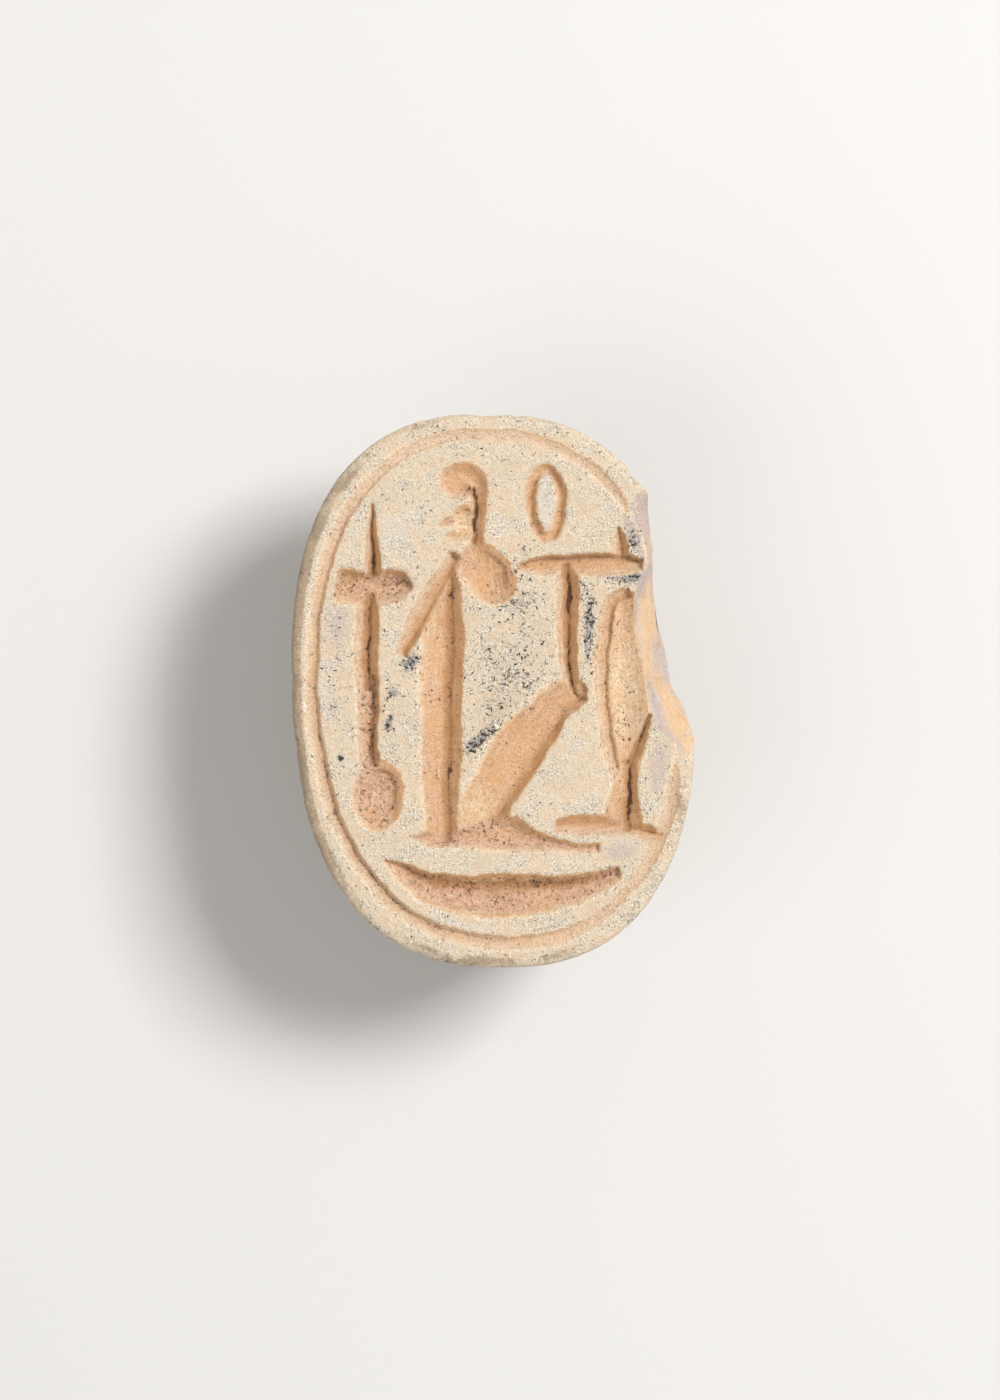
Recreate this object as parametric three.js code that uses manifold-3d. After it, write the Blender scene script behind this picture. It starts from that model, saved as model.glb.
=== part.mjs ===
// Scarab seal: an oval stone beetle with a picture cut into its flat underside.
// Millimetres. +Z points out of the engraved face, +Y to the beetle's head end.
// The seal lies on its domed back, which touches z = 0 with a small worn flat.

import * as THREE from 'three';
import Module from 'manifold-3d';

const wasm = await Module();
wasm.setup();

// Overall size
const LENGTH = 16.0;
const WIDTH = 11.65;
const HEIGHT = 7.0;

// Oval outline: a power of 2 would be an ellipse, and more is squarer
const OVAL_POWER = 2.45;
const OVAL_DRIFT = -0.028;
const RING_POINTS = 76;

// Plate that carries the engraving
const PLATE_THICKNESS = 1.35;
const PLATE_ROUNDING = 0.26;
// Its rounded edges, as shares of the rounding: [in from the outline, away from the plane]
const FACE_EDGE = [[0.85, 0], [0.25, 0.3], [0, 1]];
const UNDER_EDGE = [[0, 0.7], [0.6, 0]];

// Zone of the legs, between the plate and the back
const WAIST_THICKNESS = 2.15;
const WAIST_INSET = 0.9;
const WAIST_FILLET = 0.14;
const LEG_WIDTH = 1;
const LEG_TAPER = 0.45;
const LEG_STAND = 0.45;
// A leg's section: [across in half widths, out in LEG_STAND]
const LEG_SECTION = [[-1, -0.3], [-0.7, 0.85], [0, 1], [0.7, 0.85], [1, -0.3]];

// Domed back
const BACK_INSET = 0.5;
const BACK_POWER = 2.25;
const BACK_START = 2.1;
const REST_SHARE = 0.24;
const BACK_RINGS = 9;
const BACK_RING_CROWDING = 1.4;

// Head and its toothed front plate
const HEAD_WIDTH = 5.0;
const HEAD_LENGTH = 3.3;
const HEAD_RISE = 1.15;
const HEAD_CROWN = 0.62;
const HEAD_OVER_BORE = 0.25;
const CLYPEUS_WIDTH = 3.9;
const CLYPEUS_LENGTH = 2.5;
const CLYPEUS_REACH = 0.75;
const CLYPEUS_RISE = 0.4;
const CLYPEUS_CROWN = 0.8;
const NOTCHES = 4;
const NOTCH_PITCH = 0.65;
const NOTCH_WIDTH = 0.45;
const NOTCH_DEPTH = 0.34;
const LOBE_SIDES = 28;

// Lines cut into the back
const BACK_LINE_WIDTH = 0.34;
const BACK_LINE_DEPTH = 0.2;
const SHIELD_LINE_Y = 1.6;
const SHIELD_LINE_BOW = 0.5;
const NECK_LINE_Y = 4.8;
const NECK_LINE_BOW = -0.5;
const NECK_LINE_HALF = 3.2;
const LINE_END_GAP = 0.12;
const LINE_STATIONS = 14;
// Shoulder marks beside the seam: [across from the seam, behind the shield line]
const SHOULDER_MARK = [[3.4, 0.5], [3.8, 1.3], [4.75, 1.5]];

// String hole, lengthwise through the leg zone
const BORE_DIAMETER = 1.5;
const BORE_SIDES = 20;
const MOUTH_WEAR = 0.1;
const MOUTH_WEAR_LENGTH = 0.3;

// Engraving: how deep the tools went
const STROKE_DEPTH = 0.4;
const THIGH_DEPTH = 0.44;
const BASKET_DEPTH = 0.42;
const DRILL_DEPTH = 0.34;
const BORDER_DEPTH = 0.2;
const BORDER_WIDTH = 0.47;
const BORDER_INSET = 0.61;
const BORDER_FOOT = 0.26;
const BORDER_POWER = 2.3;
const BORDER_BULGE = 0.035;
const BORDER_BULGE_ANGLE = -45;
const BORDER_KEEL = -0.3;
const BORDER_POINTS = 60;
// Where a stroke's gentle floor starts: [share of the half width, share of the depth]
const FLOOR_START = [0.55, 0.6];

// Break along the right edge
const BREAK_SLOPE_DEPTH = 1.5;
const BREAK_WALL_DEPTH = 3.6;
const BREAK_DEPTH = 5.0;
const BREAK_SPREAD = 0.9;

const PERCENT = 0.01;
// Cutters rise above what they cut by this share of their depth, or by this length
const SPILL = 0.3;
const PAST = 1;
const SIDES = [-1, 1];

// Strokes of the picture. Each station is [across, up, half width]: across in percent of
// WIDTH, up and half width in percent of LENGTH, from the middle of the face. Strokes run
// down or to the right, and keel is how far the deepest line leans to the upper right wall.
const STROKES = {
  luteSpike: { depth: STROKE_DEPTH, keel: 0.1,
    path: [[-30, 33.8, 0.3], [-29.9, 28, 1.1], [-30.1, 21.4, 1.8]] },
  luteCrossbar: { depth: STROKE_DEPTH, keel: 0.45,
    path: [[-37.6, 18.6, 2.4], [-35.1, 18.6, 3.2], [-26.9, 18.6, 3.2], [-22.7, 18.8, 2.4], [-20.7, 19, 1.1]] },
  luteShaft: { depth: STROKE_DEPTH, keel: 0.1,
    path: [[-31.4, 17.5, 2.2], [-31.4, 7.3, 2.2], [-31.4, -2.6, 2.1], [-30.9, -13.2, 1.7]] },
  headdress: { depth: DRILL_DEPTH, keel: 0.3,
    path: [[-9.2, 40, 1.2], [-5.6, 39.4, 1.7], [-3.6, 36.7, 1.7], [-3.5, 33.6, 1.6], [-4, 30.4, 1.6],
      [-4, 26.6, 1.6]] },
  nose: { depth: DRILL_DEPTH, keel: 0,
    path: [[-12.9, 29.9, 0.4], [-10.9, 30.4, 0.9], [-7.2, 30.4, 1.2]] },
  chin: { depth: DRILL_DEPTH, keel: 0,
    path: [[-11.5, 27.6, 0.5], [-9.9, 27.6, 0.9], [-7.2, 27.9, 1]] },
  arm: { depth: STROKE_DEPTH, keel: 0.3,
    path: [[-9.6, 23.9, 1.8], [-14.3, 18.1, 2], [-19, 12, 1.8], [-22.9, 6.6, 0.6]] },
  body: { depth: STROKE_DEPTH, keel: 0.27,
    path: [[-10.3, 23.2, 0.9], [-11.8, 16.3, 2.9], [-12.2, 9.1, 3.9], [-12.9, -1.7, 3.9], [-13, -10.7, 3.5],
      [-13.5, -19.7, 2.6], [-13.5, -26.6, 2.3]] },
  thigh: { depth: THIGH_DEPTH, keel: 0.5,
    path: [[22.3, 0.4, 1.6], [20.6, 0, 2.6], [16.1, -2, 3.4], [12.5, -5, 3.8], [7.9, -8.5, 4.6],
      [4.8, -12.1, 4.9], [-0.4, -18.7, 4.3], [-3.3, -22.5, 4.4], [-4.6, -24.6, 3.4]] },
  foot: { depth: STROKE_DEPTH, keel: 0.2,
    path: [[-19.9, -26.7, 0.4], [-15.8, -26.6, 1.2], [-7.1, -26.3, 2], [4.3, -25.9, 2.8], [11, -27.4, 1.6],
      [15.3, -28.3, 1], [25.9, -28.8, 0.7]] },
  standTop: { depth: STROKE_DEPTH, keel: 0.35,
    path: [[6.4, 22.1, 0.7], [10.5, 22.3, 1.6], [19, 22.6, 1.9], [33.4, 22.8, 1.8], [37.9, 23, 1.5]] },
  standPost: { depth: STROKE_DEPTH, keel: 0.1,
    path: [[18.2, 22.6, 2.2], [18.2, 9.1, 2], [19, 2.8, 1.7], [20.7, -1.3, 1.4]] },
  standFlame: { depth: STROKE_DEPTH, keel: 0,
    path: [[30.5, 29.5, 0.4], [31, 26.9, 1.3], [31.4, 22.9, 1.8]] },
  creatureLeftSide: { depth: STROKE_DEPTH, keel: 0.4,
    path: [[33.1, 17.6, 1.2], [28.9, 15.6, 1.7], [27.6, 9.1, 1.8], [27.2, 0.1, 1.7], [28.2, -8, 1.6],
      [30.1, -13.6, 1.4]] },
  creatureBody: { depth: DRILL_DEPTH, keel: 0,
    path: [[31.9, 17, 2.3], [31.6, 9.1, 4], [31.9, 0.1, 4.5], [32.6, -7.1, 4], [32.6, -13.4, 2.7]] },
  creatureTail: { depth: STROKE_DEPTH, keel: 0.3,
    path: [[38.6, -4.2, 0.5], [37.1, -6.8, 1.1], [35.1, -10.4, 1.5], [33.4, -14, 1.6]] },
  creatureSeat: { depth: STROKE_DEPTH, keel: 0.1,
    path: [[32.5, -12.9, 2.5], [32.4, -17, 2.5], [31.9, -20.8, 2.9], [31.9, -24.6, 3.6]] },
  creatureGround: { depth: STROKE_DEPTH, keel: 0.2,
    path: [[16, -24.2, 0.4], [21.5, -24.2, 1.2], [32.6, -24.6, 1.6], [38.3, -25.5, 1.4], [41.6, -26, 0.7]] },
  basket: { depth: BASKET_DEPTH, keel: 0.5,
    path: [[-27.2, -30.7, 0.4], [-23.2, -32.7, 1.6], [-17, -35.2, 2.7], [-8.3, -36.8, 3.7], [1.6, -37.1, 4],
      [11.5, -36.7, 3.7], [21.5, -35.4, 2.3], [27.4, -34.1, 1.4], [31.9, -32.5, 0.7]] },
};

// Drilled or scooped hollows: middle in the same percentages, half sizes in percent of
// LENGTH, and how far the long way leans from upright, in degrees
const HOLLOWS = {
  luteBulb: { middle: [-28.5, -18.8], half: [4.9, 6.7], lean: 0 },
  disc: { middle: [-9.1, 37.9], half: [3.1, 3.1], lean: 0 },
  face: { middle: [-7.2, 30.2], half: [2.4, 3.4], lean: 0 },
  chest: { middle: [-1.7, 21.2], half: [4.6, 6.4], lean: 38 },
};
const HOLLOW_SIDES = 20;
const HOLLOW_LEVELS = [[1.04, 0.3], [0.86, -0.55], [0.62, -0.86], [0.3, -1]];

// Oval ring beside the head
const SIGN_MIDDLE = [13, 33.8];
const SIGN_HALF = [4, 6.2];
const SIGN_LINE = 0.33;
const SIGN_POINTS = 20;

// Break stations: [up, where it starts on the face, where it ends at the side]
const BREAK_EDGE = [
  [37, 38.4, 38.4], [34.6, 36.9, 38.7], [32.2, 35.7, 38.9], [28.9, 34.9, 39.4], [25, 36.8, 39.8],
  [19.2, 36.5, 40], [16.3, 34.5, 40.3], [11.8, 34.3, 41.2], [8.2, 35, 42.6], [1, 38, 44.2],
  [-4.4, 39.5, 48.4], [-9.8, 45.7, 50], [-13.5, 49.5, 51.5],
];

// Legs, as [angle round the oval, share of the way from the plate to the back]
const LEGS = [
  [[4, 0.85], [20, 0.45], [42, 0.3], [66, 0.45]],
  [[-2, 0.8], [-14, 0.35], [-32, 0.22], [-52, 0.2]],
  [[-16, 0.9], [-36, 0.62], [-56, 0.6], [-74, 0.35]],
];

const faceZ = HEIGHT;
const plateZ = HEIGHT - PLATE_THICKNESS;
const backZ = plateZ - WAIST_THICKNESS;
const boreZ = (plateZ + backZ) / 2;

// A point on an oval of the given half sizes and power, in the direction of an angle
function ovalPoint(angle, halfWidth, halfLength, power) {
  const across = Math.abs(Math.cos(angle) / halfWidth) ** power;
  const along = Math.abs(Math.sin(angle) / halfLength) ** power;
  const reach = (across + along) ** (-1 / power);
  const y = reach * Math.sin(angle);
  return new THREE.Vector2(reach * Math.cos(angle) + OVAL_DRIFT * y, y);
}

// A level ring of the body: inset from the outline, cut short at the head end, then shrunk
function bodyRing(z, inset, startBack = 0, share = 1) {
  const halfWidth = (WIDTH / 2 - inset) * share;
  const halfLength = (LENGTH / 2 - inset - startBack / 2) * share;
  const ring = [];
  for (let i = 0; i < RING_POINTS; i += 1) {
    const point = ovalPoint((2 * Math.PI * i) / RING_POINTS, halfWidth, halfLength, OVAL_POWER);
    ring.push(new THREE.Vector3(point.x, point.y - startBack / 2, z));
  }
  return ring;
}

function middleOf(ring) {
  const middle = new THREE.Vector3();
  ring.forEach((point) => middle.add(point));
  return middle.divideScalar(ring.length);
}

// A skin over rings of equally many points, capped at both ends unless it closes on itself
function loft(rings, closed = false) {
  const count = rings[0].length;
  const points = rings.flat();
  const faces = [];
  const spans = closed ? rings.length : rings.length - 1;
  for (let i = 0; i < spans; i += 1) {
    const here = i * count;
    const next = ((i + 1) % rings.length) * count;
    for (let j = 0; j < count; j += 1) {
      const k = (j + 1) % count;
      faces.push([here + j, here + k, next + k], [here + j, next + k, next + j]);
    }
  }
  if (!closed) {
    const first = points.push(middleOf(rings[0])) - 1;
    const last = points.push(middleOf(rings[rings.length - 1])) - 1;
    const lastRing = (rings.length - 1) * count;
    for (let j = 0; j < count; j += 1) {
      const k = (j + 1) % count;
      faces.push([first, k, j], [last, lastRing + j, lastRing + k]);
    }
  }
  return asSolid(points, faces);
}

function signedVolume(points, faces) {
  const cross = new THREE.Vector3();
  const wedge = ([a, b, c]) => points[a].dot(cross.crossVectors(points[b], points[c])) / 6;
  return faces.reduce((sum, face) => sum + wedge(face), 0);
}

function asSolid(points, faces) {
  const outward = signedVolume(points, faces) > 0;
  const turned = outward ? faces : faces.map(([a, b, c]) => [a, c, b]);
  return new wasm.Manifold(new wasm.Mesh({
    numProp: 3,
    vertProperties: new Float32Array(points.flatMap((point) => point.toArray())),
    triVerts: new Uint32Array(turned.flat()),
  }));
}

function joinAll(solids) {
  return solids.reduce((joined, solid) => joined.add(solid));
}

// Plate, leg zone and domed back
function makeBody() {
  const round = PLATE_ROUNDING;
  const rings = [
    ...FACE_EDGE.map(([inset, drop]) => bodyRing(faceZ - drop * round, inset * round)),
    ...UNDER_EDGE.map(([inset, rise]) => bodyRing(plateZ + rise * round, inset * round)),
    bodyRing(plateZ - WAIST_FILLET, WAIST_INSET),
    bodyRing(backZ + WAIST_FILLET, WAIST_INSET),
    bodyRing(backZ, BACK_INSET, BACK_START),
  ];
  for (let i = 1; i <= BACK_RINGS; i += 1) {
    const share = 1 - (1 - REST_SHARE) * (i / BACK_RINGS) ** BACK_RING_CROWDING;
    rings.push(bodyRing(backHeight(share), BACK_INSET, BACK_START, share));
  }
  return loft(rings);
}

// Height of the back where its ring has shrunk to a share of the widest one
function backHeight(share) {
  const fall = (value) => (1 - Math.min(value, 1) ** BACK_POWER) ** (1 / BACK_POWER);
  return backZ * (1 - fall(share) / fall(REST_SHARE));
}

// Height of the back's surface over a point of the plan
function backSurface(x, y) {
  const halfWidth = WIDTH / 2 - BACK_INSET;
  const halfLength = LENGTH / 2 - BACK_INSET - BACK_START / 2;
  const along = y + BACK_START / 2;
  const across = x - OVAL_DRIFT * along;
  const share = (Math.abs(across / halfWidth) ** OVAL_POWER + Math.abs(along / halfLength) ** OVAL_POWER)
    ** (1 / OVAL_POWER);
  return share < REST_SHARE ? 0 : backHeight(share);
}

// A smooth run of stations through the given ones
function smoothStations(stations, steps) {
  const curve = new THREE.CatmullRomCurve3(stations.map((station) => new THREE.Vector3(...station)));
  return curve.getPoints((stations.length - 1) * steps);
}

function directionAt(points, index) {
  const before = points[Math.max(index - 1, 0)];
  const after = points[Math.min(index + 1, points.length - 1)];
  return new THREE.Vector2(after.x - before.x, after.y - before.y).normalize();
}

// A groove's section at one station: gentle floor on one side, keel and steep wall on the other
function strokeSection(point, direction, depth, keel) {
  const half = point.z;
  const [floorSide, floorDrop] = FLOOR_START;
  const corners = [
    [-half * (1 + (1 - floorSide) * SPILL), depth * floorDrop * SPILL],
    [-half * floorSide, -depth * floorDrop],
    [half * keel, -depth],
    [half * (1 + (1 - keel) * SPILL), depth * SPILL],
  ];
  return corners.map(([side, up]) => new THREE.Vector3(
    point.x - direction.y * side,
    point.y + direction.x * side,
    faceZ + up,
  ));
}

function makeStroke({ path, depth, keel }) {
  const stations = path.map(([across, up, half]) => [
    across * PERCENT * WIDTH,
    up * PERCENT * LENGTH,
    half * PERCENT * LENGTH,
  ]);
  const points = smoothStations(stations, 2);
  const widest = Math.max(...points.map((point) => point.z));
  return loft(points.map((point, i) => strokeSection(
    point,
    directionAt(points, i),
    depth * Math.sqrt(point.z / widest),
    keel,
  )));
}

// A scooped hollow: shrinking level rings down to its floor
function makeHollow({ middle, half, lean }) {
  const centre = new THREE.Vector2(middle[0] * PERCENT * WIDTH, middle[1] * PERCENT * LENGTH);
  return loft(HOLLOW_LEVELS.map(([share, drop]) => {
    const ring = [];
    for (let i = 0; i < HOLLOW_SIDES; i += 1) {
      const angle = (2 * Math.PI * i) / HOLLOW_SIDES;
      const point = new THREE.Vector2(half[0] * Math.cos(angle), half[1] * Math.sin(angle))
        .multiplyScalar(PERCENT * LENGTH * share)
        .add(centre)
        .rotateAround(centre, THREE.MathUtils.degToRad(lean));
      ring.push(new THREE.Vector3(point.x, point.y, faceZ + drop * DRILL_DEPTH));
    }
    return ring;
  }));
}

// A closed groove along a loop of plan points
function makeLoopGroove(points, halfWidth, depth, keel) {
  return loft(points.map((point, i) => {
    const before = points[(i + points.length - 1) % points.length];
    const after = points[(i + 1) % points.length];
    const direction = after.clone().sub(before).normalize();
    return strokeSection(new THREE.Vector3(point.x, point.y, halfWidth), direction, depth, keel);
  }), true);
}

function makeBorder() {
  const points = [];
  for (let i = 0; i < BORDER_POINTS; i += 1) {
    const angle = (2 * Math.PI * i) / BORDER_POINTS;
    const fromBulge = angle - THREE.MathUtils.degToRad(BORDER_BULGE_ANGLE);
    const bulge = 1 + BORDER_BULGE * Math.max(0, Math.cos(fromBulge)) ** 2;
    const halfLength = LENGTH / 2 - BORDER_INSET - BORDER_FOOT / 2;
    const point = ovalPoint(angle, WIDTH / 2 - BORDER_INSET, halfLength, BORDER_POWER);
    points.push(point.multiplyScalar(bulge).add(new THREE.Vector2(0, BORDER_FOOT / 2)));
  }
  return makeLoopGroove(points, BORDER_WIDTH / 2, BORDER_DEPTH, BORDER_KEEL);
}

function makeSignRing() {
  const points = [];
  for (let i = 0; i < SIGN_POINTS; i += 1) {
    const angle = (2 * Math.PI * i) / SIGN_POINTS;
    points.push(new THREE.Vector2(
      (SIGN_MIDDLE[0] + SIGN_HALF[0] * Math.cos(angle)) * PERCENT * WIDTH,
      (SIGN_MIDDLE[1] + SIGN_HALF[1] * Math.sin(angle)) * PERCENT * LENGTH,
    ));
  }
  return makeLoopGroove(points, SIGN_LINE / 2, DRILL_DEPTH, 0);
}

// The broken edge: a slope from the face, then a steep wall that runs out on the back
function makeBreak() {
  const outside = WIDTH;
  return loft(BREAK_EDGE.map(([up, onFace, atSide]) => {
    const y = up * PERCENT * LENGTH;
    const inner = onFace * PERCENT * WIDTH;
    const outer = atSide * PERCENT * WIDTH;
    const corners = [
      [inner - (outer - inner) * SPILL, BREAK_SLOPE_DEPTH * SPILL],
      [outer, -BREAK_SLOPE_DEPTH],
      [outer, -BREAK_WALL_DEPTH],
      [outer + BREAK_SPREAD, -BREAK_DEPTH],
      [outside, -BREAK_DEPTH],
      [outside, BREAK_SLOPE_DEPTH * SPILL],
    ];
    return corners.map(([x, z]) => new THREE.Vector3(x, y, faceZ + z));
  }));
}

// A round bar along the seal, following its lean, for cutting the string hole
function makeBar(radius, length, middleY) {
  return loft(SIDES.map((side) => {
    const y = middleY + (side * length) / 2;
    const ring = [];
    for (let i = 0; i < BORE_SIDES; i += 1) {
      const angle = (2 * Math.PI * i) / BORE_SIDES;
      const x = OVAL_DRIFT * y + radius * Math.cos(angle);
      ring.push(new THREE.Vector3(x, y, boreZ + radius * Math.sin(angle)));
    }
    return ring;
  }));
}

// String hole, a little worn wide at both mouths
function makeBore() {
  const radius = BORE_DIAMETER / 2;
  const mouthLength = 2 * (WAIST_INSET + MOUTH_WEAR_LENGTH);
  const mouths = SIDES.map((side) => makeBar(radius + MOUTH_WEAR, mouthLength, (side * LENGTH) / 2));
  return joinAll([makeBar(radius, LENGTH + 2 * PAST, 0), ...mouths]);
}

// A leg: a raised band on the wall of the leg zone
function makeLeg(path, side) {
  const stations = smoothStations(path.map(([angle, share]) => [angle, share, 0]), 3);
  const wallPoint = (angle, share, stand) => {
    const turned = THREE.MathUtils.degToRad(side > 0 ? angle : 180 - angle);
    const inset = WAIST_INSET - stand;
    const point = ovalPoint(turned, WIDTH / 2 - inset, LENGTH / 2 - inset, OVAL_POWER);
    return new THREE.Vector3(point.x, point.y, plateZ - share * WAIST_THICKNESS);
  };
  const halfShare = LEG_WIDTH / 2 / WAIST_THICKNESS;
  return loft(stations.map((station, i) => {
    const taper = 1 - LEG_TAPER * (i / (stations.length - 1));
    return LEG_SECTION.map(([across, stand]) => wallPoint(
      station.x,
      station.y + across * halfShare * taper,
      stand * LEG_STAND * taper,
    ));
  }));
}

// A low oval lobe that narrows to a crown share at its top, which faces down
function makeLobe(width, length, middleY, baseZ, topZ, crown) {
  const levels = [[1, baseZ], [1, (baseZ + topZ) / 2], [crown, topZ]];
  return loft(levels.map(([share, z]) => {
    const ring = [];
    for (let i = 0; i < LOBE_SIDES; i += 1) {
      const angle = (2 * Math.PI * i) / LOBE_SIDES;
      const point = ovalPoint(angle, (width / 2) * share, (length / 2) * share, OVAL_POWER);
      ring.push(new THREE.Vector3(point.x + OVAL_DRIFT * middleY, point.y + middleY, z));
    }
    return ring;
  }));
}

// Head in front of the back, and the toothed plate before it
function makeHead() {
  const front = LENGTH / 2 - WAIST_INSET;
  const tip = front + CLYPEUS_REACH;
  const baseZ = boreZ - BORE_DIAMETER / 2 - HEAD_OVER_BORE;
  const headY = front - HEAD_LENGTH / 2;
  const head = makeLobe(HEAD_WIDTH, HEAD_LENGTH, headY, baseZ, backZ - HEAD_RISE, HEAD_CROWN);
  const plateY = tip - CLYPEUS_LENGTH / 2;
  const plateTop = backZ - CLYPEUS_RISE;
  const plate = makeLobe(CLYPEUS_WIDTH, CLYPEUS_LENGTH, plateY, baseZ, plateTop, CLYPEUS_CROWN);
  const notches = [];
  for (let i = 0; i < NOTCHES; i += 1) {
    const x = (i - (NOTCHES - 1) / 2) * NOTCH_PITCH + OVAL_DRIFT * front;
    notches.push(loft([baseZ + PAST, plateTop - PAST].map((z) => [
      new THREE.Vector3(x - NOTCH_WIDTH / 2, tip, z),
      new THREE.Vector3(x, tip - NOTCH_DEPTH, z),
      new THREE.Vector3(x + NOTCH_WIDTH / 2, tip, z),
      new THREE.Vector3(x, tip + PAST, z),
    ])));
  }
  return head.add(plate.subtract(joinAll(notches)));
}

// A line cut into the back along plan points
function makeBackLine(plan) {
  const step = BACK_LINE_WIDTH / 4;
  const points = smoothStations(plan.map((point) => [point.x, point.y, 0]), 2);
  return loft(points.map((point, i) => {
    const direction = directionAt(points, i);
    const normal = new THREE.Vector3(
      backSurface(point.x + step, point.y) - backSurface(point.x - step, point.y),
      backSurface(point.x, point.y + step) - backSurface(point.x, point.y - step),
      -2 * step,
    ).normalize();
    const centre = new THREE.Vector3(point.x, point.y, backSurface(point.x, point.y));
    const side = new THREE.Vector3(direction.x, direction.y, 0).cross(normal).normalize();
    const corners = [
      [-BACK_LINE_WIDTH, BACK_LINE_DEPTH],
      [0, -BACK_LINE_DEPTH],
      [BACK_LINE_WIDTH, BACK_LINE_DEPTH],
    ];
    return corners.map(([across, out]) => centre.clone()
      .addScaledVector(side, across)
      .addScaledVector(normal, out));
  }));
}

// A bowed line across the back
function crossLine(middleY, bow, half) {
  const plan = [];
  for (let i = 0; i <= LINE_STATIONS; i += 1) {
    const share = (2 * i) / LINE_STATIONS - 1;
    plan.push(new THREE.Vector2(share * half + OVAL_DRIFT * middleY, middleY + bow * share * share));
  }
  return plan;
}

// Cross lines of the beetle's shield and neck, the seam of the wing cases and shoulder marks
function makeBackLines() {
  const seamX = (y) => OVAL_DRIFT * (y + BACK_START / 2);
  const seamEnd = BACK_INSET + LINE_END_GAP - LENGTH / 2;
  const seam = [];
  for (let i = 0; i <= LINE_STATIONS; i += 1) {
    const y = SHIELD_LINE_Y + (seamEnd - SHIELD_LINE_Y) * (i / LINE_STATIONS);
    seam.push(new THREE.Vector2(seamX(y), y));
  }
  const marks = SIDES.map((side) => SHOULDER_MARK.map(([across, behind]) => (
    new THREE.Vector2(side * across + seamX(SHIELD_LINE_Y), SHIELD_LINE_Y - behind)
  )));
  const shield = crossLine(SHIELD_LINE_Y, SHIELD_LINE_BOW, WIDTH / 2 - BACK_INSET - LINE_END_GAP);
  const neck = crossLine(NECK_LINE_Y, NECK_LINE_BOW, NECK_LINE_HALF);
  return joinAll([shield, neck, seam, ...marks].map(makeBackLine));
}

function makeSeal() {
  const legs = SIDES.flatMap((side) => LEGS.map((path) => makeLeg(path, side)));
  const carved = joinAll([makeBody(), makeHead(), ...legs]);
  const strokes = Object.values(STROKES).map(makeStroke);
  const hollows = Object.values(HOLLOWS).map(makeHollow);
  const picture = joinAll([...strokes, ...hollows, makeSignRing(), makeBorder()]);
  return carved
    .subtract(makeBackLines())
    .subtract(makeBore())
    .subtract(picture)
    .subtract(makeBreak());
}

function asGeometry(solid) {
  const mesh = solid.getMesh();
  const geometry = new THREE.BufferGeometry();
  geometry.setAttribute('position', new THREE.BufferAttribute(mesh.vertProperties, mesh.numProp));
  geometry.setIndex(new THREE.BufferAttribute(mesh.triVerts, 1));
  return geometry;
}

const stone = new THREE.MeshStandardMaterial({ color: 0xd9d2bd, roughness: 0.75, metalness: 0 });

const seal = new THREE.Group();
const stonePiece = new THREE.Mesh(asGeometry(makeSeal()), stone);
stonePiece.name = 'scarab_seal';
seal.add(stonePiece);

export default seal;
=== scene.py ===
"""Scarab seal: the worn stone, its engraved face and its carved beetle back."""
import math

import bmesh
import bpy
import numpy as np
from bpy.props import FloatProperty, FloatVectorProperty, IntProperty, PointerProperty
from bpy.types import Operator, Panel, PropertyGroup
from mathutils import Matrix, Vector


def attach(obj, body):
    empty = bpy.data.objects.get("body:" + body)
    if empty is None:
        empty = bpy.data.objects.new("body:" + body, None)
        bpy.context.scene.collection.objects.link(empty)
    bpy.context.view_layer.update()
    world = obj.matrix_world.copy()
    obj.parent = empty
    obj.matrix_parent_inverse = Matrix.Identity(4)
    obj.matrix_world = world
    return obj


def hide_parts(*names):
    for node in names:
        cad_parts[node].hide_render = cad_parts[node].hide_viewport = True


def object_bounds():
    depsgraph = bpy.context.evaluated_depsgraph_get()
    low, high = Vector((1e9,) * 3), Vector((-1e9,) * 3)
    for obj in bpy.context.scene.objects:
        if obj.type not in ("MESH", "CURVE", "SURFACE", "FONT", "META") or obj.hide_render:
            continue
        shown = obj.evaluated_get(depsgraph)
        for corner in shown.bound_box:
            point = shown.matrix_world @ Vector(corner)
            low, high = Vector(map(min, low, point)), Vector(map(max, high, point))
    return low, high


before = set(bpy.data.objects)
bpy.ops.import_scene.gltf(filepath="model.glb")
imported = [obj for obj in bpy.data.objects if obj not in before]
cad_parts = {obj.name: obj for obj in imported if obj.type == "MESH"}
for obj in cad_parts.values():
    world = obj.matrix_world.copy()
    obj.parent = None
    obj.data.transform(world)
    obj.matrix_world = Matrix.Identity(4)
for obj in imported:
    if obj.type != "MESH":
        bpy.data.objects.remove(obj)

bl_info = {
    "name": "Scarab seal",
    "version": (1, 0, 0),
    "blender": (4, 5, 0),
    "location": "3D View > Sidebar > Seal",
    "description": "Carves a worn stone scarab seal and sets it on a pale floor",
    "category": "Mesh",
}

CAD_LOW, CAD_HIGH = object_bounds()
NODE = "scarab_seal"
BODY = "root"

# Lengths are millimetres, as in the solid's own plan, unless a comment says otherwise
MM = 0.001
PERCENT = 0.01
SIDES = (-1, 1)

# Overall size: length and height from the frame, and the width of the whole oval, which the
# break cuts into
LENGTH = (CAD_HIGH.y - CAD_LOW.y) / MM
WIDTH = 11.65
HEIGHT = (CAD_HIGH.z - CAD_LOW.z) / MM

# Oval outline
OVAL_POWER = 2.45
OVAL_DRIFT = -0.028

# Plate that carries the engraving
PLATE_THICKNESS = 1.35
PLATE_UNDER = HEIGHT - PLATE_THICKNESS
PLATE_ROUNDING = 0.26
UNDER_ROUNDING = 0.16
EDGE_STEPS = 5
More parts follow.
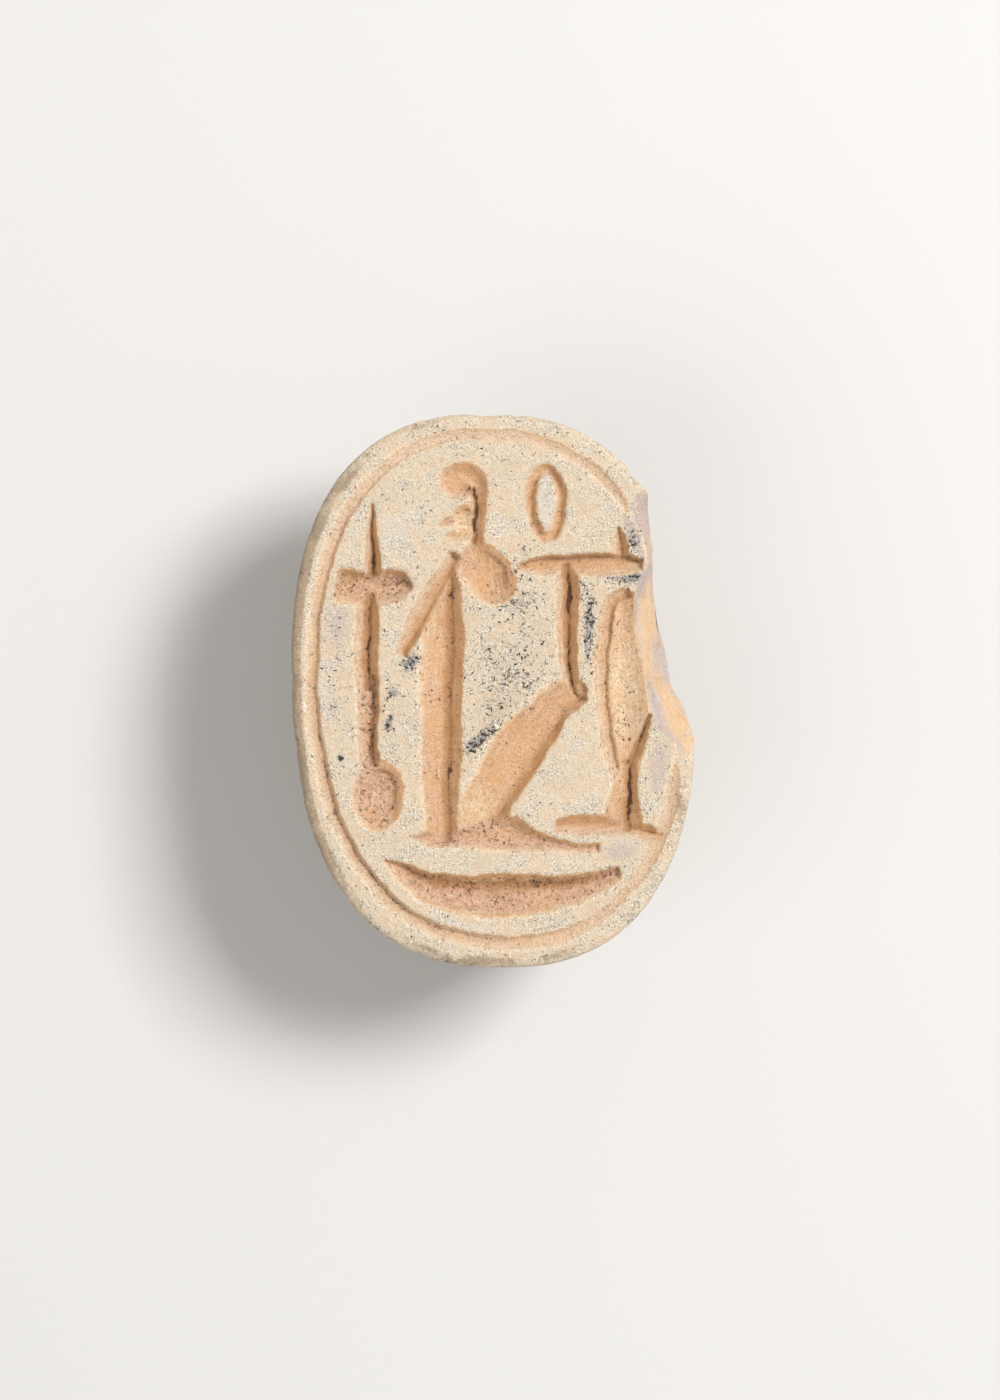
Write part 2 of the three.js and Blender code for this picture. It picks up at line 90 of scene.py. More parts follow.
# Levels of the plate's lower edge: [inset, height over the underside]
LOWER_EDGE = (
    (0.0, 0.45 * PLATE_THICKNESS), (0.02, 0.2), (0.07, 0.06), (UNDER_ROUNDING, 0.0), (0.5, -0.01))

# Leg zone between the plate and the back
WAIST_THICKNESS = 2.15
BACK_TOP = PLATE_UNDER - WAIST_THICKNESS
WAIST_INSET = 0.9
WAIST_FILLET = 0.14
WAIST_STEPS = 23
LEG_WIDTH = 1.0
LEG_TAPER = 0.45
LEG_STAND = 0.45
LEG_SHARPNESS = 3.0
LEG_CREST_POWER = 0.6
LEG_STEPS = 8
LEG_GROOVE_DEPTH = 0.07
LEG_GROOVE_WIDTH = 0.16
LEG_GROOVE_REACH = 0.8

# Domed back
BACK_INSET = 0.5
BACK_POWER = 2.25
BACK_START = 2.1
REST_SHARE = 0.24

# Head and its toothed front plate
HEAD_WIDTH = 5.0
HEAD_LENGTH = 3.3
HEAD_RISE = 1.15
HEAD_OVER_BORE = 0.25
CLYPEUS_WIDTH = 3.9
CLYPEUS_LENGTH = 2.5
CLYPEUS_REACH = 0.75
CLYPEUS_RISE = 0.4
NOTCHES = 4
NOTCH_PITCH = 0.65
NOTCH_WIDTH = 0.45
NOTCH_DEPTH = 0.34
EYE_RADIUS = 0.5
EYE_SPREAD = 1.75
EYE_AHEAD = 0.35
EYE_RISE = 0.35
EYE_SEGMENTS = 28
EYE_RINGS = 16
LOBE_SIDES = 96
# A lobe's levels: [share of the plan, share of the way to its top]
HEAD_LEVELS = ((1, 0), (1, 0.3), (0.985, 0.5), (0.95, 0.66), (0.89, 0.8), (0.8, 0.9), (0.68, 0.965),
               (0.5, 0.99), (0.3, 1), (0.12, 1))
PLATE_LEVELS = ((1, 0), (1, 0.45), (0.985, 0.7), (0.95, 0.85), (0.88, 0.94), (0.76, 0.98), (0.5, 1),
                (0.25, 1))

# Lines cut into the back
BACK_LINE_WIDTH = 0.34
BACK_LINE_DEPTH = 0.2
SHIELD_LINE_Y = 1.6
SHIELD_LINE_BOW = 0.5
NECK_LINE_Y = 4.8
NECK_LINE_BOW = -0.5
NECK_LINE_HALF = 3.2
LINE_END_GAP = 0.12
LINE_STATIONS = 14
LINE_STEPS = 4
SHOULDER_MARK = ((3.4, 0.5), (3.8, 1.3), (4.75, 1.5))

# String hole
BORE_DIAMETER = 1.5
BORE_SIDES = 56
MOUTH_WEAR = 0.1
MOUTH_WEAR_LENGTH = 0.3
MOUTH_INNER = 0.3
MOUTH_OUTER = 0.15
PAST = 1.0

# Engraving
STROKE_DEPTH = 0.4
THIGH_DEPTH = 0.44
BASKET_DEPTH = 0.42
DRILL_DEPTH = 0.34
BORDER_DEPTH = 0.2
BORDER_WIDTH = 0.43
BORDER_INSET = 0.61
BORDER_FOOT = 0.26
BORDER_POWER = 2.3
BORDER_BULGE = 0.035
BORDER_BULGE_ANGLE = -45
BORDER_KEEL = 0.45
BORDER_DARKNESS = 0.6
BORDER_LIT = 0.35
BORDER_POINTS = 180
# How round a groove's floor, wall and a hollow's bowl are, and how even the floor's fall is
FLOOR_POWER = 3.2
FLOOR_FALL = 0.5
WALL_POWER = 1.25
BOWL_POWER = 4.2
# Signed depth, in a cut's own depths, below which the ground beside it counts as far off
FAR_OFF = -3
# A hollow's wall on the side that faces away from the light: how round, and where it starts
BOWL_LEE_START = -0.1
BOWL_LEE_END = 0.8
BOWL_LEE_POWER = 1.7
BOWL_WALL_START = 0.67
BOWL_WALL_SPREAD = 0.11
# The last cut of the tool along a keel
KEEL_HALF = 0.055
KEEL_DEPTH = 0.04
# Shares of a cut's depth between which its keel fades in, and the darkness every keel has
KEEL_START = 0.3
KEEL_FULL = 0.8
KEEL_LEAST = 0.3
# How far the brown shade round a keel reaches on the floor and on the wall, and how much darker
# than the keel it may be
SHADE_ON_FLOOR = 0.24
SHADE_ON_WALL = 0.1
SHADE_EXTRA = 0.25
# How far a blunt end runs past its last station, in half widths
END_CAP = 0.4
STROKE_STEPS = 6
# Wobble of the hand that cut the lines: [size, amount]
WOBBLES = ((0.9, 0.035), (0.3, 0.026), (0.14, 0.016))
WOBBLE_SEED = 11
WOBBLE_CELLS = 128
# Rounding where cuts meet and where they meet the face
JOIN_ROUNDING = 0.05
LIP_ROUNDING = 0.06

# Break along the right edge
BREAK_SLOPE_DEPTH = 1.5
BREAK_WALL_DEPTH = 3.6
BREAK_DEPTH = 5.0
BREAK_SPREAD = 0.9
RING_DROP = 0.02
# Stretch over which the break's slope dies out at its lower and its upper end
BREAK_LOW_FADE = 1.9
BREAK_HIGH_FADE = 0.8
BREAK_STRAY = 0.9
# Unevenness of the broken surface, and the steps in it
BREAK_UNEVEN = 1.5
BREAK_STEPS = 2.5
BREAK_STEP_SHARE = 0.05
BREAK_STEP_LEAN = 2.1
# Shares of the slope over which its steps and its unevenness set in, and its least fall
BREAK_EASE = 0.1
UNEVEN_EASE = 0.2
BREAK_LEAST = 0.3
BREAK_NARROWEST = 0.05
# Where the broken stone's colour starts, and where it dies out at the break's foot and ends
BROKEN_START = -0.02
BROKEN_FULL = 0.06
BROKEN_MARGIN = 0.1
BROKEN_FOOT_FADE = 0.6
BROKEN_LOW_FADE = 0.8
BROKEN_HIGH_FADE = 0.5
# Dark seam along the break: how far in, its width and the stretches over which it comes and goes
SEAM_INSET = 0.04
SEAM_WIDTH = 0.05
SEAM_LOW = (0.7, 1.1)
SEAM_HIGH = (2.4, 2.8)

# Worn dent of the string in the top edge
DENT_DEPTH = 0.07
DENT_HALF = 0.42
DENT_REACH = 0.7

# Slack by which a point still counts as on the face or on the plate's edge
MARGIN = 0.1
# Depths that the finish tells apart at a cut's edge: how far above it, and how much in all
LEVEL_BELOW = 0.06
LEVEL_SPAN = 0.16
# Widths over which the finish fades: beside a cut, along the rim and where a cut meets the break
HALO_WIDTH = 0.16
RIM_WIDTH = 0.3
MEETING = 0.05
# Depths at which a rough floor and the border's floor start and are full
ROUGH_DEPTHS = (0.08, 0.2)
LINE_DEPTHS = (0.0, 0.08)
LINE_CLEARANCE = 0.02

# Direction in the plan towards the key light, which shapes the hollows' walls and steers the cuts' painted
# light and shade
LIGHT_ANGLE = 30
# Share of a normal that points away from the light where a wall starts to count as lee, and where fully
LEE_NORMALS = (-0.05, 0.35)

# On the rim's left side, which faces away from the light, the brown is partly painted shade
# Brown grime and painted shade on the rim: its width, its least share there, and the directions where the
# shade sets in
RIM_GRIME_AND_SHADE_WIDTH = 0.42
STAIN_LEAST = 0.3
RIM_SHADE_TURN = (0.3, 0.85)
# Stand of a leg over which the grime between the legs ends, its strength, and depths of the back's lines
LEG_CLEAR = (0.02, 0.2)
WAIST_STAIN = 0.8
LINE_STAIN = (0.02, 0.14)

# Mesh: cells across and along the face
CELLS_ACROSS = 200
CELLS_ALONG = 272

# Camera: the sensor's long side, and how far it stands off the middle of the face
SENSOR = 36.0
CAMERA_ASIDE = 0.19
CAMERA_BELOW = -0.27

# Stage, in metres: floor, lights and how near and far the camera sees
FLOOR_HALF = 1.5
FLOOR_COLOUR = (0.6, 0.59, 0.575)
KEY_SIZE = 0.08
KEY_PLACE = (0.142, 0.082, 0.205)
FILL_SIZE = 0.2
FILL_PLACE = (-0.16, -0.1, 0.2)
SKY_COLOUR = (1, 0.985, 0.96, 1)
NEAREST_SEEN = 0.005
FARTHEST_SEEN = 10

# Height that the bump in the finish stands for
BUMP_HEIGHT = 0.14
# Noises of the stone: bumps per millimetre, detail, roughness, distortion
NOISES = {
    "broad": (0.5, 3, 0.55, 0.0),
    "patchy": (1.6, 4, 0.6, 0.0),
    "mottle": (5.0, 5, 0.8, 0.0),
    "grain": (9.5, 4, 0.8, 0.0),
    "fine": (19.0, 2, 0.8, 0.0),
    "blots": (5.2, 4, 0.75, 0.5),
}
# What the mesh tells the finish about each point
STONE_FIELDS = (
    "level", "keel", "shade", "halo", "lee", "rough", "line", "broken", "smear", "lilac", "pale", "chalk",
    "warm", "grime_and_rim_shade", "pit", "seam", "across", "along",
)
# Settings that all colours share
AS_COLOUR = {"subtype": "COLOR", "size": 3, "min": 0, "max": 1}

# Strokes as depth, keel, keel darkness and stations. A station is [across in percent of WIDTH,
# up and half width in percent of LENGTH]. Keel is how far the deepest line leans to the upper
# right wall, in half widths.
STROKES = {
    "lute_spike": (STROKE_DEPTH, 0.1, 0.7, ((-30, 33.8, 0.3), (-29.9, 28, 1.1), (-30.1, 21.4, 1.8))),
    "lute_crossbar": (STROKE_DEPTH, 0.45, 0.15, (
        (-38.4, 18.9, 2.7), (-35.1, 18.6, 3.3), (-26.9, 18.6, 3.2), (-22.7, 18.8, 2.4), (-20.7, 19, 1.1))),
    "lute_shaft": (STROKE_DEPTH, 0.15, 1.0, (
        (-31.4, 17.5, 2.2), (-31.4, 7.3, 2.2), (-31.4, 0.6, 2.1))),
    "lute_shaft_low": (STROKE_DEPTH, 0.5, 0.35, (
        (-31.4, 2, 2.1), (-31.2, -4, 2.2), (-31.3, -8, 2), (-30.8, -13.2, 1.8))),
    "headdress_top": (DRILL_DEPTH, 0, 0, (
        (-9.6, 39.6, 1.6), (-6.6, 39.2, 2.2), (-4, 37, 1.9), (-3.6, 34.4, 1.7))),
    "headdress_back": (DRILL_DEPTH, -0.3, 1.2, (
        (-3.9, 36.4, 1.5), (-3.5, 33.6, 1.6), (-4, 30.4, 1.6), (-4, 26.6, 1.6))),
    "nose": (DRILL_DEPTH, 0, 0, ((-12.9, 29.9, 0.4), (-10.9, 30.4, 0.9), (-7.2, 30.4, 1.2))),
    "chin": (DRILL_DEPTH, 0, 0, ((-11.5, 27.6, 0.5), (-9.9, 27.6, 0.9), (-7.2, 27.9, 1))),
    "arm": (STROKE_DEPTH, 0.3, 0.3, (
        (-9.6, 23.9, 1.8), (-14.3, 18.1, 2), (-19, 12, 2), (-22.7, 6.9, 1.3))),
    "body": (STROKE_DEPTH, 0.4, 0.8, (
        (-10.7, 21.6, 1.3), (-11.8, 16.3, 2.9), (-12.2, 9.1, 3.9), (-12.9, -1.7, 3.9),
        (-12.9, -10.7, 3.8), (-12.8, -19.7, 3.4), (-12.8, -26.6, 3.3))),
    "thigh": (THIGH_DEPTH, 0.72, 0.35, (
        (22.3, 0.4, 1.6), (20.6, 0, 2.6), (16.1, -2, 3.4), (12.5, -5, 3.8), (7.9, -8.5, 4.6),
        (4.8, -12.1, 4.9), (-0.4, -18.7, 4.3), (-3.3, -22.5, 4.4), (-4.6, -24.6, 3.4))),
    "foot": (STROKE_DEPTH, 0.3, 0.2, (
        (-19.9, -26.6, 0.5), (-17, -26.6, 1.3), (-10.8, -26.6, 1.7), (-3.3, -25.9, 2.5),
        (2.8, -25.5, 3.3), (7.8, -26.6, 2.4), (12.7, -27.5, 1.5), (18.9, -28.2, 1), (25.6, -28.5, 0.9))),
    "stand_top": (STROKE_DEPTH, 0.72, 0.35, (
        (6.4, 22.1, 0.7), (10.5, 22.3, 1.6), (19, 22.6, 1.9), (33, 22.8, 1.9), (36.6, 22.9, 1.1))),
    "stand_post": (STROKE_DEPTH, 0.1, 1.1, (
        (18.2, 22.6, 2.2), (18.2, 9.1, 2), (19, 2.8, 1.7), (20.7, -1.3, 1.4))),
    "stand_flame": (DRILL_DEPTH, 0.3, 0.3, ((30.5, 29.5, 0.4), (31, 26.9, 1.3), (31.4, 22.9, 1.8))),
    "creature_left_side": (STROKE_DEPTH, 0.4, 0.25, (
        (33.1, 17.6, 1.2), (28.9, 15.6, 1.7), (27.6, 9.1, 1.8), (27.2, 0.1, 1.7), (28.2, -8, 1.6),
        (30.1, -13.6, 1.4))),
    "creature_body": (DRILL_DEPTH, 0, 0, (
        (31.9, 17, 2.3), (31.6, 9.1, 4), (31.9, 0.1, 4.5), (32.6, -7.1, 4), (32.6, -13.4, 2.7))),
    "creature_tail": (STROKE_DEPTH, 0.2, 0.6, (
        (38.6, -4.2, 0.5), (37.1, -6.8, 1.1), (35.1, -10.4, 1.5), (33.4, -14, 1.6))),
    "creature_seat": (STROKE_DEPTH, 0.35, 1.1, (
        (32.5, -12.9, 2.5), (32.4, -17, 2.5), (31.9, -20.8, 2.9), (31.9, -24.6, 3.6))),
    "creature_ground": (STROKE_DEPTH, 0.2, 0.2, (
        (15.8, -24.2, 1.5), (21.5, -24.2, 1.9), (32.6, -24.6, 1.6), (38.3, -25.5, 1.4), (41.6, -26, 0.7))),
    "basket": (BASKET_DEPTH, 0.52, 0.8, (
        (-27.2, -30.7, 0.4), (-23.2, -32.7, 1.6), (-17, -35.2, 2.7), (-8.3, -36.8, 3.7), (1.6, -37.1, 4),
        (11.5, -36.7, 3.7), (21.5, -35.5, 2.5), (27, -34.2, 1.8), (30.9, -32.9, 1.2))),
}

# Hollows: middle and half sizes in the same percentages, the lean in degrees, keel darkness
HOLLOWS = {
    "lute_bulb": ((-28.5, -18.8), (4.9, 6.7), 0, 1.0),
    "disc": ((-8.8, 37.7), (3.5, 3.5), 0, 0.5),
    "face": ((-7.2, 30.2), (2.4, 3.4), 0, 0.2),
    "chest": ((-1.7, 21.2), (4.6, 6.4), 38, 0.4),
}
# Cuts whose floors the tool left rough
ROUGH_CUTS = ("lute_bulb", "lute_shaft_low", "basket", "foot", "lute_crossbar")
SIGN_MIDDLE = (13, 33.8)
SIGN_HALF = (4, 6.2)
SIGN_LINE = 0.33
SIGN_POINTS = 48
SIGN_DEPTH = 0.24
SIGN_DARKNESS = 0.7
SIGN_POWER = 3.0
SIGN_KEEL = 0.62
SIGN_KEEL_WIDTH = 0.22
SIGN_POINT = 0.2

# Break stations: [up, where it starts on the face, where it ends at the side]
BREAK_EDGE = (
    (37, 37.4, 38.6), (34.3, 36, 38.7), (30, 36.8, 39.2), (26, 37.7, 39.7), (23, 38.5, 39.9),
    (19.2, 36.7, 40), (16.7, 34.9, 40.3), (12.5, 34.2, 41), (8.2, 35, 42.6), (1.5, 37.8, 44.2),
    (-2.8, 39.2, 47.6), (-6.7, 41.4, 49.3), (-9.4, 45.3, 50.2), (-13.5, 47.6, 51.5),
)

# Legs, as [angle round the oval, share of the way from the plate to the back]
LEGS = (
    ((4, 0.85), (20, 0.45), (42, 0.3), (66, 0.45)),
    ((-2, 0.8), (-14, 0.35), (-32, 0.22), (-52, 0.2)),
    ((-16, 0.9), (-36, 0.62), (-56, 0.6), (-74, 0.35)),
)

# Grey and dark smears on the face: middle, half sizes in millimetres, lean, strength
SMEARS = (
    ((-2.38, 0.82), (0.27, 0.33), -30, 1.2),
    ((-2.9, -0.05), (0.2, 0.24), -35, 1.0),
    ((-3.03, -0.95), (0.13, 0.4), -20, 1.1),
    ((-4.4, -1.92), (0.13, 0.08), -35, 1.6),
    ((-0.5, -1.5), (0.25, 0.65), -50, 1.0),
    ((0.6, 0.9), (1.2, 1.9), 0, 0.55),
    ((0.0, -0.6), (0.7, 0.8), -30, 0.3),
    ((0.68, 2.6), (0.5, 0.35), 0, 0.5),
    ((0.9, 4.05), (0.3, 0.4), 0, 0.5),
    ((2.78, 1.9), (0.26, 1.5), 0, 0.95),
    ((3.85, 3.25), (0.65, 0.2), 5, 1.1),
    ((4.05, 4.4), (0.3, 0.6), 25, 0.8),
    ((0.3, 3.3), (0.35, 0.5), 0, 0.6),
    ((-1.83, 3.2), (0.35, 0.6), 0, 0.4),
    ((-2.3, 5.5), (0.6, 0.7), 0, 0.25),
    ((3.1, -1.7), (0.12, 1.2), 5, 0.5),
    ((-4.6, 0.3), (0.6, 1.6), 0, 0.22),
    ((2.6, -2.3), (0.9, 1.0), 0, -0.7),
    ((-0.5, -4.85), (2.6, 0.3), 0, -0.5),
    ((2.8, 5.1), (0.9, 0.9), 0, -0.3),
    ((-2.9, 4.0), (0.7, 1.1), 0, -0.25),
)
# Where the deepest lines are darkest: middle, half sizes, lean, strength
DARK_KEELS = (
    ((-3.57, 3.8), (0.2, 0.35), 0, 1.2),
    ((-3.6, 1.4), (0.3, 1.6), 0, 0.5),
    ((-3.45, -1.1), (0.3, 1.1), 0, 0.2),
    ((-0.56, 5.3), (0.3, 0.8), 0, 1.1),
    ((-1.25, 1.2), (0.3, 3.0), 0, 0.35),
    ((-1.4, -2.4), (0.3, 0.8), 0, 0.7),
    ((2.1, 2.75), (0.3, 0.5), 0, 1.5),
    ((2.2, 0.6), (0.3, 0.9), 0, 0.8),
    ((-1.3, 3.9), (0.35, 0.35), 0, -0.6),
    ((3.2, 1.9), (0.3, 1.2), 0, 0.5),
    ((4.2, -1.3), (0.3, 0.9), -30, 0.9),
    ((3.85, -2.9), (0.3, 0.9), 0, 1.2),
    ((2.3, -4.3), (0.9, 0.3), -10, 0.5),
    ((0.3, -5.3), (3.0, 0.4), 0, 0.4),
)
# Where the tool slipped and the edges stray more: middle, half sizes, lean, strength
RAGGED_PLACES = (
    ((-3.6, -1.2), (0.5, 1.2), 0, 1.3),
    ((-3.4, 3.0), (1.2, 0.5), 0, 0.9),
    ((-4.2, 3.3), (0.3, 0.3), 0, 1.0),
    ((4.0, 3.6), (0.5, 0.4), 0, 1.0),
    ((2.2, -4.2), (1.2, 0.4), 0, 0.7),
    ((2.2, 1.2), (0.5, 1.6), 0, 0.5),
    ((0.3, -5.6), (3.2, 0.5), 0, 0.5),
    ((-1.0, 4.9), (0.8, 1.4), 0, 0.5),
    ((4.0, -2.8), (0.6, 1.4), 0, 0.5),
)
# Lilac grey patches of the bare stone
LILAC_PATCHES = (
    ((3.65, -4.6), (0.55, 0.35), 0, 0.9),
    ((4.75, -2.2), (0.35, 0.9), 0, 0.9),
    ((-4.5, 1.9), (0.45, 1.0), 0, 0.8),
    ((-2.5, 3.2), (0.45, 0.5), 0, 0.6),
    ((-4.7, -0.6), (0.35, 0.9), 0, 0.5),
    ((0.9, -6.6), (2.6, 0.3), 0, 0.4),
    ((4.3, 4.5), (0.4, 0.8), 20, 1.6),
    ((4.2, 3.2), (0.4, 0.2), 0, 1.2),
    ((2.9, -1.4), (0.4, 0.8), 30, 0.35),
)
# Brown stains: on the face, the bottom rim and the top rim
STAIN_PATCHES = (
    ((0.8, 2.1), (0.3, 0.3), 0, 0.45),
    ((-0.2, -7.8), (0.9, 0.14), 0, 0.9),
    ((-1.9, -7.45), (0.6, 0.12), -25, 0.7),
    ((1.9, -7.6), (0.5, 0.12), 20, 0.6),
    ((-4.3, 6.0), (0.5, 0.12), 45, 0.6),
    ((-2.2, 7.6), (0.6, 0.1), 15, 0.5),
    ((5.4, -3.4), (0.1, 0.5), 0, 0.5),
)
# Chalky stretches of the face
CHALK_PATCHES = (
    ((1.54, 5.5), (0.25, 0.8), 0, 1.1),
    ((-2.9, 4.7), (0.5, 0.5), 20, 0.7),
    ((-3.4, 3.3), (0.4, 0.7), 0, 0.6),
    ((-1.3, 3.0), (0.35, 0.3), 0, 0.6),
    ((-5.0, -0.5), (0.3, 1.6), 0, 0.5),
    ((-1.0, -6.75), (1.6, 0.2), -8, 0.6),
    ((-4.2, 5.4), (0.5, 0.7), -40, 0.5),
    ((4.0, 4.1), (0.2, 0.6), 30, 0.6),
)
# Where the border line is worn shallow: middle, half sizes, lean, loss of depth in millimetres
BORDER_WEAR = (
    ((4.35, 4.85), (0.8, 0.9), -45, 0.3),
    ((5.35, -1.6), (0.6, 0.8), 0, 0.25),
    ((1.6, 6.9), (3.2, 1.2), -10, 0.07),
    ((-3.2, 5.9), (1.6, 1.4), 30, 0.06),
    ((-5.1, 1.5), (0.7, 3.5), 0, 0.06),
    ((3.7, -5.7), (1.3, 1.3), 0, 0.06),
)
# Warm stretches of the break
WARM_BREAK = (
    ((4.45, 2.1), (0.35, 0.7), 0, 1.2),
    ((4.4, 0.95), (0.22, 0.6), 15, 0.9),
    ((5.35, -0.85), (0.3, 1.15), 25, 1.7),
    ((4.56, 4.2), (0.1, 0.5), 0, 0.6),
    ((4.5, 3.1), (0.1, 0.3), 0, 0.6),
)
# Paler stretches of the cuts' floors
PALE_FLOORS = (
    ((3.75, 0.0), (0.5, 1.7), 0, 1.1),
    ((-0.6, -3.3), (0.6, 0.5), 0, 0.7),
    ((-0.95, 4.8), (0.4, 0.45), 0, 0.8),
    ((-1.9, 1.2), (0.3, 1.6), 0, 0.3),
)


class SealCutSizes(PropertyGroup):
    """How deep the tools went and how worn the skin is."""

    border_depth: FloatProperty(
        name="Border depth", description="Depth of the line round the picture",
        default=BORDER_DEPTH * MM, unit="LENGTH", precision=5)
    relief: FloatProperty(
        name="Relief", description="Share of the picture's full depth",
        default=1.0, min=0.2, max=1.5, subtype="FACTOR")
    grain_depth: FloatProperty(
        name="Grain depth", description="Height of the stone's fine grain",
        default=0.012 * MM, unit="LENGTH", precision=6)
    grain_size: FloatProperty(
        name="Grain size", description="Width of one bump of the grain",
        default=0.16 * MM, unit="LENGTH", precision=6)
    wave_depth: FloatProperty(
        name="Wave depth", description="Height of the broad unevenness of the hand-cut surface",
        default=0.03 * MM, unit="LENGTH", precision=6)
    wave_size: FloatProperty(
        name="Wave size", description="Width of the broad unevenness",
        default=1.3 * MM, unit="LENGTH", precision=5)
    pit_depth: FloatProperty(
        name="Pit depth", description="Depth of the pits in rough floors and the dark areas",
        default=0.07 * MM, unit="LENGTH", precision=6)
    chip_depth: FloatProperty(
        name="Chip depth", description="Depth of the chips along the rim",
        default=0.09 * MM, unit="LENGTH", precision=6)
    seed: IntProperty(
        name="Seed", description="Fixes the grain's pattern", default=7, min=0)


class SealColours(PropertyGroup):
    """Colours of the stone, some also laid as painted highlights and shade, as linear values."""

    skin: FloatVectorProperty(
        name="Skin", description="Cream of the face", default=(0.83, 0.64, 0.445), **AS_COLOUR)
    # Also a painted highlight on the cuts' steep walls that face the light
    skin_pale_and_highlight: FloatVectorProperty(
        name="Pale skin", description="Palest cream of the face", default=(1.0, 0.85, 0.65), **AS_COLOUR)
    skin_green: FloatVectorProperty(
        name="Greenish skin", description="Greenish grey tint of the face",
        default=(0.42, 0.345, 0.265), **AS_COLOUR)
    floor: FloatVectorProperty(
        name="Cut floor", description="Salmon of the cuts' floors",
        default=(0.76, 0.435, 0.23), **AS_COLOUR)
    floor_pink: FloatVectorProperty(
        name="Pink floor", description="Pink of the rough floors", default=(0.75, 0.45, 0.30), **AS_COLOUR)
    # Also painted shade on the cuts' steep walls that face away from the light
    wall: FloatVectorProperty(
        name="Cut wall", description="Ochre of the steep walls", default=(0.96, 0.55, 0.23), **AS_COLOUR)
    lit_edge: FloatVectorProperty(
        name="Lit edge", description="Pale orange of the cuts' edges that face the light",
        default=(1.0, 0.77, 0.5), **AS_COLOUR)
    keel: FloatVectorProperty(
        name="Keel", description="Dark brown of the deepest lines",
        default=(0.12, 0.048, 0.02), **AS_COLOUR)
    brown: FloatVectorProperty(
        name="Keel shade", description="Warm brown along the deepest lines",
        default=(0.46, 0.215, 0.08), **AS_COLOUR)
    soot: FloatVectorProperty(
        name="Smears", description="Grey black of the smears and specks",
        default=(0.017, 0.015, 0.016), **AS_COLOUR)
    lilac: FloatVectorProperty(
        name="Lilac", description="Lilac grey of the fresher stone",
        default=(0.70, 0.56, 0.505), **AS_COLOUR)
    grit: FloatVectorProperty(
        name="Grit", description="Brownish grey of the fine grains in the face",
        default=(0.46, 0.335, 0.225), **AS_COLOUR)
    chalk: FloatVectorProperty(
        name="Chalk", description="Near white of the chalky patches",
        default=(0.85, 0.80, 0.73), **AS_COLOUR)
    smudge: FloatVectorProperty(
        name="Smudge", description="Blue grey of the broad smears",
        default=(0.24, 0.245, 0.275), **AS_COLOUR)
    # Also painted shade on the rim's left side, which faces away from the light
    grime_and_rim_shade: FloatVectorProperty(
        name="Stain", description="Brown grime of the rim and of the grooves round the sides",
        default=(0.42, 0.29, 0.175), **AS_COLOUR)
    # On the cuts' lips this is partly a painted highlight, brighter where they face the light
    glint: FloatVectorProperty(
        name="Glint", description="Near white of the crushed grains and the cuts' edges",
        default=(1.0, 0.95, 0.82), **AS_COLOUR)
    peach: FloatVectorProperty(
        name="Peach", description="Peach of the break and the palest floors",
        default=(0.92, 0.64, 0.39), **AS_COLOUR)


class SealStageSizes(PropertyGroup):
    """Floor, lights and camera."""

    lens: FloatProperty(
        name="Lens", description="Focal length in millimetres", default=100.0, min=20.0)
    picture_height: FloatProperty(
        name="Picture height", description="Height of the view at the engraved face",
        default=40.36 * MM, unit="LENGTH", precision=5)
    key_power: FloatProperty(
        name="Key power", description="Watts of the key light", default=0.75, min=0.0)
    fill_power: FloatProperty(
        name="Fill power", description="Watts of the fill light", default=0.2, min=0.0)
    sky: FloatProperty(
        name="Sky", description="Strength of the even light all round", default=0.5, min=0.0)


def centripetal_run(stations, steps):
    """A smooth run of points through the stations, steps to each span."""
    given = [np.array(station, float) for station in stations]
    given = [2 * given[0] - given[1], *given, 2 * given[-1] - given[-2]]
    run = []
    for before, start, end, after in zip(given, given[1:], given[2:], given[3:]):
        lead, span, trail = (math.sqrt(np.linalg.norm(b - a)) for a, b in
                             ((before, start), (start, end), (end, after)))
        middle = (end - start) / span
        leave = ((start - before) / lead - (end - before) / (lead + span) + middle) * span
        arrive = (middle - (after - start) / (span + trail) + (after - end) / trail) * span
        for i in range(steps):
            t = i / steps
            bend = -3 * start + 3 * end - 2 * leave - arrive
            run.append(start + leave * t + bend * t ** 2 + (2 * start - 2 * end + leave + arrive) * t ** 3)
    run.append(given[-2])
    return np.array(run)


def oval_reach(angle, half_width, half_length, power):
    """How far an oval reaches in the direction of an angle."""
    across = np.abs(np.cos(angle) / half_width) ** power
    along = np.abs(np.sin(angle) / half_length) ** power
    return (across + along) ** (-1 / power)


def oval_point(angle, half_width, half_length, power=OVAL_POWER):
    """A point in the direction of an angle on an oval, which leans by the drift."""
    reach = oval_reach(angle, half_width, half_length, power)
    y = reach * np.sin(angle)
    return reach * np.cos(angle) + OVAL_DRIFT * y, y


def smooth_larger(a, b, width):
    """The larger of two values, rounded where they are closer than a width."""
    near = np.maximum(width - np.abs(a - b), 0) / width
    return np.maximum(a, b) + near * near * width / 4


def ramp(value, start, end):
    """0 before start, 1 after end, smooth between."""
    t = np.clip((value - start) / (end - start), 0, 1)
    return t * t * (3 - 2 * t)


def section(side, keel):
    """Depth share across a groove: gentle floor to the keel, then a steep wall."""
    to_keel = np.abs((keel - side) / (keel + 1))
    floor = 1 - FLOOR_FALL * to_keel - (1 - FLOOR_FALL) * to_keel ** FLOOR_POWER
    wall = 1 - np.abs((side - keel) / (1 - keel)) ** WALL_POWER
    return np.where(side < keel, floor, wall)


